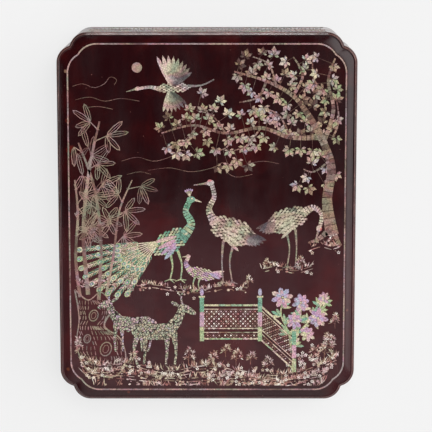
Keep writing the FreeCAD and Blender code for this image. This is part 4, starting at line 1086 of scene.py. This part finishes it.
HALF_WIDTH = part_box("lid_top_panel")[1].x / MM
HALF_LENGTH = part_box("lid_top_panel")[1].y / MM
BOARD_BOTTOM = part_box("lid_top_panel")[0].z / MM

# A corner's shape: how far from the corner its lobes start, their radius and the notch's radius
OUTER_SHAPE = (23, 13.45, 1.2)
FIELD_SHAPE = (22.4, 16.4, 2.2)
STRING_SHAPE = (22, 16, 2)
LOBE_STEPS = 14
NOTCH_STEPS = 6

# The board's edge from below: a straight edge, the shoulder's insets and rises, then the quirk.
# The shoulder is round up to a small ledge, from which an arris cut at 46 degrees leads to the top.
EDGE_HEIGHT = 0.6
SHOULDER = [(0.05, 0.42), (0.16, 0.8), (0.34, 1.1), (0.56, 1.3), (0.78, 1.42), (0.98, 1.49), (1.04, 1.54),
            (1.1, 1.603), (1.74, 2.271), (1.8, 2.333), (1.88, 2.37), (2.1, 2.39), (2.4, 2.4)]
QUIRK_WIDTH, QUIRK_DEPTH = 0.15, 0.25
CUSHION_START = 2.9
CUSHION_STEPS = 14
FIELD_START = 7.9
FIELD_GROOVE = [(0.15, 0.22), (0.45, 0)]


def lobed_outline(inset, start, radius, notch):
    """The board's outline drawn in by an inset, with two lobes and a softened notch at each corner."""
    half_width, half_length = HALF_WIDTH - inset, HALF_LENGTH - inset
    total = start + radius
    root = math.sqrt(total**2 - 2 * (start**2 + radius**2 - (radius + notch) ** 2))
    dip = (total - root) / 2
    sweep = math.degrees(math.atan2(start - dip, radius - dip))
    corners = []
    for quarter, (sign_x, sign_y) in enumerate(((1, 1), (-1, 1), (-1, -1), (1, -1))):
        beside = (sign_x * (half_width - radius), sign_y * (half_length - start))
        above = (sign_x * (half_width - start), sign_y * (half_length - radius))
        hollow = (sign_x * (half_width - dip), sign_y * (half_length - dip))
        first, second = (above, beside) if quarter % 2 else (beside, above)
        turn = 90 * quarter
        for number in range(LOBE_STEPS + 1):
            corners.append(beyond(first, turn + sweep * number / LOBE_STEPS, radius))
        for number in range(1, NOTCH_STEPS):
            angle = turn + 180 + sweep + (90 - 2 * sweep) * number / NOTCH_STEPS
            corners.append(beyond(hollow, angle, notch))
        for number in range(LOBE_STEPS + 1):
            corners.append(beyond(second, turn + 90 - sweep + sweep * number / LOBE_STEPS, radius))
    return corners


def parallel(inset, shape=OUTER_SHAPE):
    """A corner's shape on a line that runs inside another one at an even distance."""
    start, radius, notch = shape
    return start - inset, radius - inset, notch + inset


def loop_at(mesh, inset, shape, height):
    """Closed run of edges along a lobed outline."""
    places = lobed_outline(inset, *shape)
    verts = [mesh.verts.new((place.x * MM, place.y * MM, height * MM)) for place in places]
    return [mesh.edges.new(pair) for pair in pairs_round(verts)]


def build_lid_board():
    """Board with a round shoulder, a fine quirk and a cushioned margin that rises to the flat field."""
    mesh = bmesh.new()
    edge = BOARD_BOTTOM + EDGE_HEIGHT
    sections = [(0, OUTER_SHAPE, BOARD_BOTTOM), (0, OUTER_SHAPE, edge)]
    sections += [(inset, parallel(inset), edge + rise) for inset, rise in SHOULDER]
    shoulder, top = SHOULDER[-1]
    quirk = edge + top - QUIRK_DEPTH
    sections.append((shoulder + QUIRK_WIDTH, parallel(shoulder + QUIRK_WIDTH), quirk))
    for number in range(CUSHION_STEPS + 1):
        share = number / CUSHION_STEPS
        inset = CUSHION_START + (FIELD_START - CUSHION_START) * share
        shape = [low + (high - low) * share for low, high in zip(parallel(CUSHION_START), FIELD_SHAPE)]
        rise = (FIELD - quirk) * (0.4 * share + 0.6 * math.sin(math.radians(90 * share)))
        sections.append((inset, shape, quirk + rise))
    sections += [(FIELD_START + inset, FIELD_SHAPE, FIELD - depth) for inset, depth in FIELD_GROOVE]
    loops = [loop_at(mesh, *section) for section in sections]
    for lower, upper in zip(loops, loops[1:]):
        bmesh.ops.bridge_loops(mesh, edges=lower + upper)
    bmesh.ops.holes_fill(mesh, edges=loops[0] + loops[-1], sides=0)
    for face in mesh.faces:
        face.smooth = len(face.verts) == 4
    place_piece("lid_board", mesh, board_lacquer, "lid", "lid_top_panel")


STRING_INSET, STRING_WIDTH = 8, 1.1
STRING_RISE, STRING_DEPTH = 0.22, 0.4
STRING_LENGTH = 13
STRING_WAVES = 8
HAIRLINE = 0.012


def build_border_string():
    """Pearl string round the field, a little uneven on its inner side, cut by hairline joints."""
    mesh = bmesh.new()
    tone = mesh.faces.layers.float.new("tone")
    waves = [(chance.uniform(0.02, 0.1), chance.uniform(0, 6.3)) for _ in range(STRING_WAVES)]
    outer = lobed_outline(STRING_INSET, *STRING_SHAPE)
    inner = lobed_outline(STRING_INSET + STRING_WIDTH, *parallel(STRING_WIDTH, STRING_SHAPE))
    for start, end in pairs_round(list(zip(outer, inner))):
        pieces = max(1, round((end[0] - start[0]).length / STRING_LENGTH))
        slit = HAIRLINE if pieces > 1 else 0
        for piece in range(pieces):
            corners = []
            for share in ((piece + slit) / pieces, (piece + 1 - slit) / pieces):
                outside, inside = start[0].lerp(end[0], share), start[1].lerp(end[1], share)
                run = (outside.x + 2 * outside.y) / 9
                shake = sum(size * math.sin(run * (order + 1) / 2 + phase)
                            for order, (size, phase) in enumerate(waves)) * 0.35
                corners.append((outside, inside.lerp(outside, 0.08 + 0.5 * shake)))
            (first, second), (fourth, third) = corners
            verts = [mesh.verts.new((place.x * MM, place.y * MM, (FIELD + STRING_RISE) * MM))
                     for place in (first, second, third, fourth)]
            mesh.faces.new(verts)[tone] = chance.random() if pieces > 1 else 0.5
    bmesh.ops.translate(mesh, verts=extruded(mesh), vec=(0, 0, -STRING_DEPTH * MM))
    place_piece("border_string_plates", mesh, string_pearl, "lid", "inlay_border_string")


# Millimetres that the band's plates stand out of the walls and go into them
BAND_PROUD, BAND_BEDDED = 0.24, 0.1
BAND_MARGIN = 3.5
BAND_STRING, BAND_JOINT = 16, 0.15
BLOSSOM_PITCH = 11
# A blossom's four petals: place about its middle, length, height, number of sides and angle
PETALS = [(2.5, 0, 4.2, 1.6, 8, 90), (0, 1.7, 2.4, 2.6, 6, 0),
          (-2.5, 0, 4.2, 1.6, 8, 90), (0, -1.7, 2.4, 2.6, 6, 0)]


def build_side_band(name, node, body, low, high):
    """Strings above and below a row of blossoms and small lozenges, on the four straight walls."""
    mesh = bmesh.new()
    tone = mesh.faces.layers.float.new("tone")
    middle = (low + high) / 2

    def set_in_wall(create, run, rise, length, height, angle, shade, **settings):
        """Flat shape in the wall's face, with its tone."""
        shape = setting @ moved(run, 0, rise) @ turned(90, "X") @ turned(angle) @ sized(length, height)
        for face in faces_of(create(mesh, matrix=shape, **settings)):
            face[tone] = shade

    def tile(run, rise, length, height, sides, angle, shade):
        set_in_wall(bmesh.ops.create_circle, run, rise, length / 2, height / 2, angle, shade,
                    cap_ends=True, segments=sides, radius=1)

    for quarter in range(4):
        level, half = (HALF_WIDTH, HALF_LENGTH) if quarter % 2 else (HALF_LENGTH, HALF_WIDTH)
        end = half - OUTER_SHAPE[0]
        setting = turned(90 * quarter) @ moved(0, -level - BAND_PROUD)
        pieces = round(2 * end / BAND_STRING)
        for rise in (low + BAND_MARGIN, high - BAND_MARGIN):
            for number in range(pieces):
                run = (number + 0.5 - pieces / 2) * 2 * end / pieces
                set_in_wall(bmesh.ops.create_grid, run, rise, 2 * end / pieces - BAND_JOINT, 1, 0,
                            chance.random(), x_segments=1, y_segments=1, size=0.5)
        count = round(2 * end / BLOSSOM_PITCH)
        pitch = 2 * end / count
        for number in range(count):
            run = (number + 0.5 - count / 2) * pitch
            for aside, up, length, height, sides, angle in PETALS:
                tile(run + aside, middle + up, length, height, sides, angle, chance.random())
            tile(run, middle, 1.1, 1.1, 6, 0, 0.5)
            if number:
                for rise in (-2.2, 0, 2.2):
                    tile(run - pitch / 2, middle + rise, 1.2, 1.2, 4, 0, chance.random())
    for vert in extruded(mesh):
        axis = 0 if abs(vert.co.x) > HALF_WIDTH else 1
        vert.co[axis] -= math.copysign(BAND_PROUD + BAND_BEDDED, vert.co[axis])
    to_metres(mesh)
    place_piece(name, mesh, band_pearl, body, node)


RELIEF_HALF_WIDTH, RELIEF_HALF_LENGTH = 7.4, 43.4
RELIEF_SUNK, RELIEF_RISE = 0.85, 0.8
SCROLLS, SCROLL_PITCH = 6, 13


def build_stick_relief():
    """Gilded relief on the ink stick: an inner border, cloud scrolls and a few plum blossoms."""
    low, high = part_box("ink_stick")
    plates = Plates((low.x + high.x) / 2 / MM, (low.y + high.y) / 2 / MM)
    corners = [(x * RELIEF_HALF_WIDTH, y * RELIEF_HALF_LENGTH)
               for x, y in ((-1, -1), (1, -1), (1, 1), (-1, 1))]
    for edge in pairs_round(corners):
        plates.strip(edge, [0.5, 0.5], 0.5, 0.6, 1)
    for number in range(SCROLLS):
        side = 1 if number % 2 else -1
        middle = Vector((1.6 * side, SCROLL_PITCH * (number - (SCROLLS - 1) / 2)))
        spiral = [beyond(middle, side * 70 * turn, 0.5 + 0.52 * turn) for turn in range(8)]
        plates.strip(spiral + [middle + Vector((-4.6 * side, 5.4)), middle + Vector((-2 * side, 8.4))],
                     [0.3, 0.9, 0.9, 0.8, 0.7, 0.3], 0.5, 0.9)
        for angle in range(0, 360, 72):
            plates.plate(beyond(middle + Vector((-4.2 * side, -2.4)), angle, 1), 1.3, 1, angle, 6, 0.5, 0.8)
    plates.lay("ink_stick_relief", None, gilt, "stick", high.z / MM - RELIEF_SUNK, RELIEF_RISE)


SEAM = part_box("lid_wall_left")[0].z / MM

build_stick_relief()
build_lid_board()
build_border_string()
build_side_band("lid_band_plates", "lid_side_inlay", "lid", SEAM, BOARD_BOTTOM)
build_side_band("base_band_plates", "base_side_inlay", "base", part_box("base_wall_left")[0].z / MM, SEAM)


# ---------------------------------------------------------------- frame pieces

# Finishes of the nodes that stay, each by the first of these words that its name holds
NODE_FINISHES = {
    "tray_wall_front": tray_wood_across, "tray_wall_back": tray_wood_across,
    "cross_divider": tray_wood_across, "bearer": lining_wood, "lining": lining_wood,
    "stone_board": lining_wood, "tray": tray_wood, "stick_rests": tray_wood,
    "bottom_panel": inner_lacquer, "bottom_pins": bamboo, "ink_stone": slate, "ink_stick": ink,
    "foot_rim": lacquer, "top_panel": lacquer, "corner": lacquer, "wall": lacquer,
}

for name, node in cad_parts.items():
    finish = next((finish for word, finish in NODE_FINISHES.items() if word in name), None)
    if finish:
        node.data.materials.clear()
        node.data.materials.append(finish)


# ---------------------------------------------------------------- floor, light and camera

FLOOR_HALF = 5
FLOOR_PAPER = (0.86, 0.86, 0.86, 1)
FLOOR_SEEN = (0.87, 0.87, 0.87, 1)
SEEN_SHARE = 0.82


def build_floor():
    """Pale paper that keeps the box's shadow, and is lifted evenly where the camera looks at it."""
    mesh = bmesh.new()
    bmesh.ops.create_grid(mesh, x_segments=1, y_segments=1, size=FLOOR_HALF)
    finish = Finish("floor_paper", Roughness=0.9, Specular_IOR_Level=0.1)
    finish.shader.inputs["Base Color"].default_value = FLOOR_PAPER
    even = finish.node("Emission")
    even.inputs["Color"].default_value = FLOOR_SEEN
    seen = finish.times(finish.node("LightPath").outputs["Is Camera Ray"], SEEN_SHARE)
    blend = finish.node("MixShader", {0: seen, 1: finish.shader.outputs[0], 2: even.outputs[0]})
    finish.feed(finish.tree.nodes["Material Output"].inputs["Surface"], blend.outputs[0])
    mesh_object("floor", mesh, finish.material)


# The room's soft patches: direction, angle of the full light, angle where it has faded out, and strength
ROOM_DARK = 0.03
ROOM_LIGHT = [
    ((0.8, 0.3, 0.55), 22, 44, 2.1),
    ((-1.0, 0.0, 0.0), 5, 11, 4.0),
    ((0.0, 1.0, 0.02), 5, 10, 15.0),
    ((0.0, -0.9, 0.6), 18, 46, 0.5),
    ((0.0, -0.46, 0.888), 8, 16, 1.1),
    ((0.25, 0.0, 0.97), 6, 12, 0.3),
]


def build_world():
    """A dark room with soft light from the right, low on the left, the far end and the front."""
    world = bpy.data.worlds.new("room")
    bpy.context.scene.world = world
    room = Nodes(world)
    direction = room.node("TexCoord").outputs["Generated"]
    total = ROOM_DARK
    for axis, full, faint, strength in ROOM_LIGHT:
        ends = {0: direction, 1: Vector(axis).normalized()}
        toward = room.node("VectorMath", ends, operation="DOT_PRODUCT").outputs["Value"]
        low, high = (math.cos(math.radians(angle)) for angle in (faint, full))
        total = room.math("ADD", room.spread(toward, low, high, 0, strength), total)
    background = room.tree.nodes["Background"]
    background.inputs["Color"].default_value = (1, 1, 1, 1)
    room.feed(background.inputs["Strength"], total)


KEY_PLACE = Vector((0.7, 2.0, 7.0))
KEY_SIZE = (3.4, 2.8)
KEY_WATTS = 390


def build_key_lamp():
    """Large soft lamp high over the far side, aimed at the box and left out of its reflections."""
    light = bpy.data.lights.new("key", "AREA")
    light.shape = "RECTANGLE"
    light.size, light.size_y = KEY_SIZE
    light.energy = KEY_WATTS
    lamp = new_object("key", light)
    lamp.location = KEY_PLACE
    lamp.rotation_euler = (-KEY_PLACE).to_track_quat("-Z", "Y").to_euler()
    lamp.visible_camera = False
    lamp.visible_glossy = False


CAMERA_DISTANCE = 1.4
CAMERA_LEAN = math.radians(9.4)
CAMERA_ACROSS, CAMERA_ALONG = 0.0067, 0.0025
LENS, SENSOR = 155.4, 36


def build_camera():
    """Long lens over the lid, leaning a little towards the box's far end."""
    data = bpy.data.cameras.new("camera")
    data.sensor_width = SENSOR
    data.lens = LENS
    camera = new_object("camera", data)
    camera.location = (CAMERA_ACROSS, CAMERA_ALONG + CAMERA_DISTANCE * math.sin(CAMERA_LEAN),
                       cad_box[1].z + CAMERA_DISTANCE * math.cos(CAMERA_LEAN))
    camera.rotation_euler = (-CAMERA_LEAN, 0, 0)
    bpy.context.scene.camera = camera


build_floor()
build_world()
build_key_lamp()
build_camera()
bpy.context.scene.view_settings.view_transform = "Standard"
